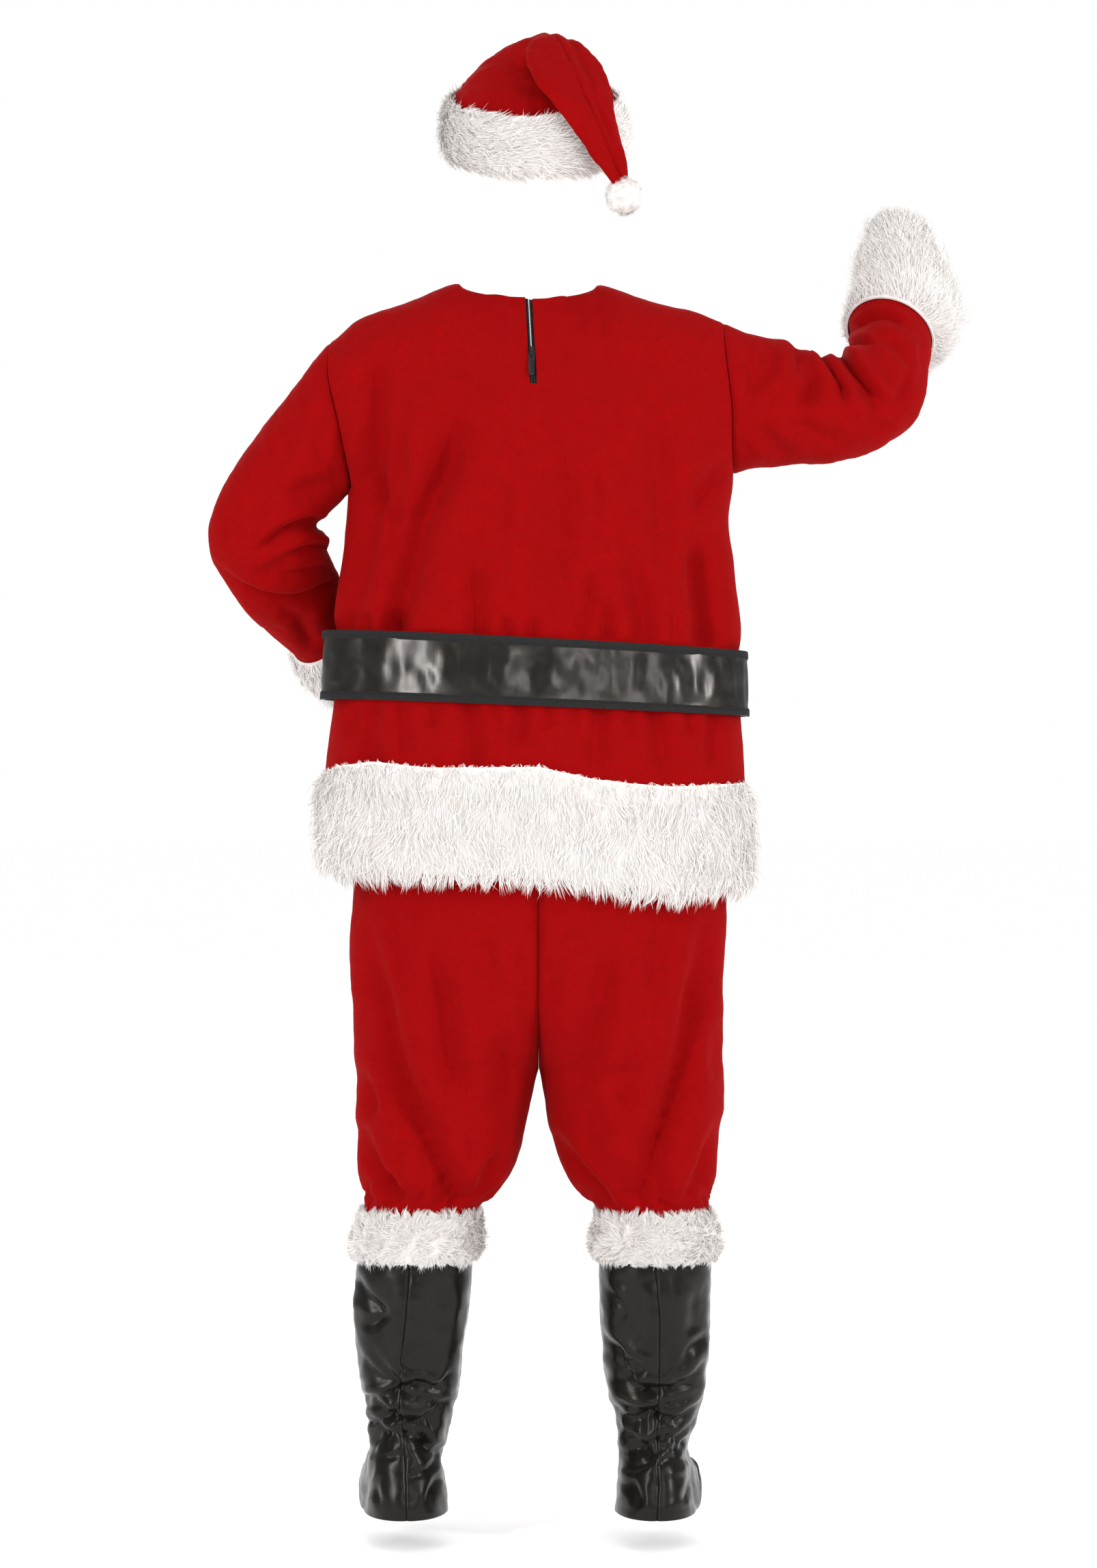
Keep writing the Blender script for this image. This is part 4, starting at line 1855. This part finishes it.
class SUIT_OT_boot_covers(bpy.types.Operator):
    """Make both boot covers"""

    bl_idname = "suit.boot_covers"
    bl_label = "Boot covers"

    def execute(self, context):
        vinyl = finishes(context.scene)["boot_vinyl"]
        for node, *shape in (
            ("boot_cover_left", 1, LEFT_BOOT, LEFT_BOOT_FOLDS),
            ("boot_cover_right", -1, RIGHT_BOOT, RIGHT_BOOT_FOLDS),
        ):
            piece = boot_cover(node + "_vinyl", *shape, context.scene.suit_cloth, vinyl)
            settle_cut(piece, "black_vinyl", node)
        return {"FINISHED"}


class SUIT_OT_fur_trims(bpy.types.Operator):
    """Make the fur on the hem, the cuffs and the boot covers"""

    bl_idname = "suit.fur_trims"
    bl_label = "Fur trims"

    def execute(self, context):
        white = finishes(context.scene)["long_pile"]
        for trims in (hem_fur, cuff_furs, knee_furs):
            trims(context.scene.suit_fur, white)
        return {"FINISHED"}


class SUIT_OT_cap(bpy.types.Operator):
    """Make the cap's crown, brim and pompom"""

    bl_idname = "suit.cap"
    bl_label = "Cap"

    def execute(self, context):
        made = finishes(context.scene)
        settle_cut(cap_crown(made["napped_fleece"]), "red_fleece", "cap_crown")
        cap_brim(context.scene.suit_fur, made["cap_pile"])
        pompom(context.scene.suit_fur, made["cap_pile"])
        return {"FINISHED"}


class SUIT_OT_stage(bpy.types.Operator):
    """Make the floor, the light and the camera"""

    bl_idname = "suit.stage"
    bl_label = "Stage"

    def execute(self, context):
        scene = context.scene
        stage = scene.suit_stage
        surface, tree, shader = new_finish("floor")
        tint = tuple(stage.floor)
        feed(tree, shader, {"Roughness": 1, "Specular IOR Level": 0,
                            "Base Color": mixed(tree, grain(tree, 1.5), tint, times(tint, 1.02))})
        corners = FLOOR_HALF * np.array([[-1, -1, 0], [1, -1, 0], [1, 1, 0], [-1, 1, 0]])
        mesh_piece("floor", corners, np.arange(4)[None, :], surface, smooth=False)
        world = bpy.data.worlds.new("pale room")
        world.use_nodes = True
        tree = world.node_tree
        rays = part_node(tree, "ShaderNodeLightPath").outputs["Is Glossy Ray"]
        dimmed = ranged(tree, rays, 0, 1, ROOM * stage.light, ROOM_MIRRORED * stage.light)
        feed(tree, tree.nodes["Background"], {0: (1, 1, 1, 1), 1: dimmed})
        scene.world = world
        scene.view_settings.view_transform = "Standard"
        for name, place, size, power in LIGHTS:
            light = bpy.data.lights.new(name, "AREA")
            light.shape = "RECTANGLE"
            light.size, light.size_y = size
            light.energy = power * stage.light
            lamp = bpy.data.objects.new(name, light)
            lamp.location = place
            aim = Vector(LIGHT_AIM) - lamp.location
            lamp.rotation_euler = aim.to_track_quat("-Z", "Y").to_euler()
            scene.collection.objects.link(lamp)
        lens = bpy.data.cameras.new("camera")
        lens.lens = CAMERA_LENS
        lens.clip_end = CAMERA_REACH
        camera = bpy.data.objects.new("camera", lens)
        camera.location = CAMERA_PLACE
        camera.rotation_euler = (pi / 2, 0, pi)
        scene.collection.objects.link(camera)
        scene.camera = camera
        return {"FINISHED"}


OPERATORS = (
    SUIT_OT_stage, SUIT_OT_jacket, SUIT_OT_sleeves, SUIT_OT_belt, SUIT_OT_zip,
    SUIT_OT_trousers, SUIT_OT_boot_covers, SUIT_OT_fur_trims, SUIT_OT_cap,
)


class SUIT_PT_panel(bpy.types.Panel):
    """Sizes, colours and pieces of the suit"""

    bl_idname = "SUIT_PT_panel"
    bl_label = "Santa suit"
    bl_space_type = "VIEW_3D"
    bl_region_type = "UI"
    bl_category = "Santa suit"

    def draw(self, context):
        for title, group, _ in GROUPS:
            box = self.layout.box()
            box.label(text=title)
            settings = getattr(context.scene, group)
            for key in settings.__annotations__:
                box.prop(settings, key)
        column = self.layout.column(align=True)
        for operator in OPERATORS:
            column.operator(operator.bl_idname)


GROUPS = (
    ("Cloth", "suit_cloth", SuitCloth), ("Fur", "suit_fur", SuitFur),
    ("Belt and metal", "suit_trim", SuitTrim), ("Stage", "suit_stage", SuitStage),
)
CLASSES = tuple(kind for _, _, kind in GROUPS) + OPERATORS + (SUIT_PT_panel,)


def register():
    for kind in CLASSES:
        bpy.utils.register_class(kind)
    for _, group, kind in GROUPS:
        setattr(bpy.types.Scene, group, bpy.props.PointerProperty(type=kind))


def unregister():
    for _, group, _ in GROUPS:
        delattr(bpy.types.Scene, group)
    for kind in reversed(CLASSES):
        bpy.utils.unregister_class(kind)


def main():
    register()
    for operator in OPERATORS:
        group, action = operator.bl_idname.split(".")
        getattr(getattr(bpy.ops, group), action)()


if __name__ == "__main__":
    main()
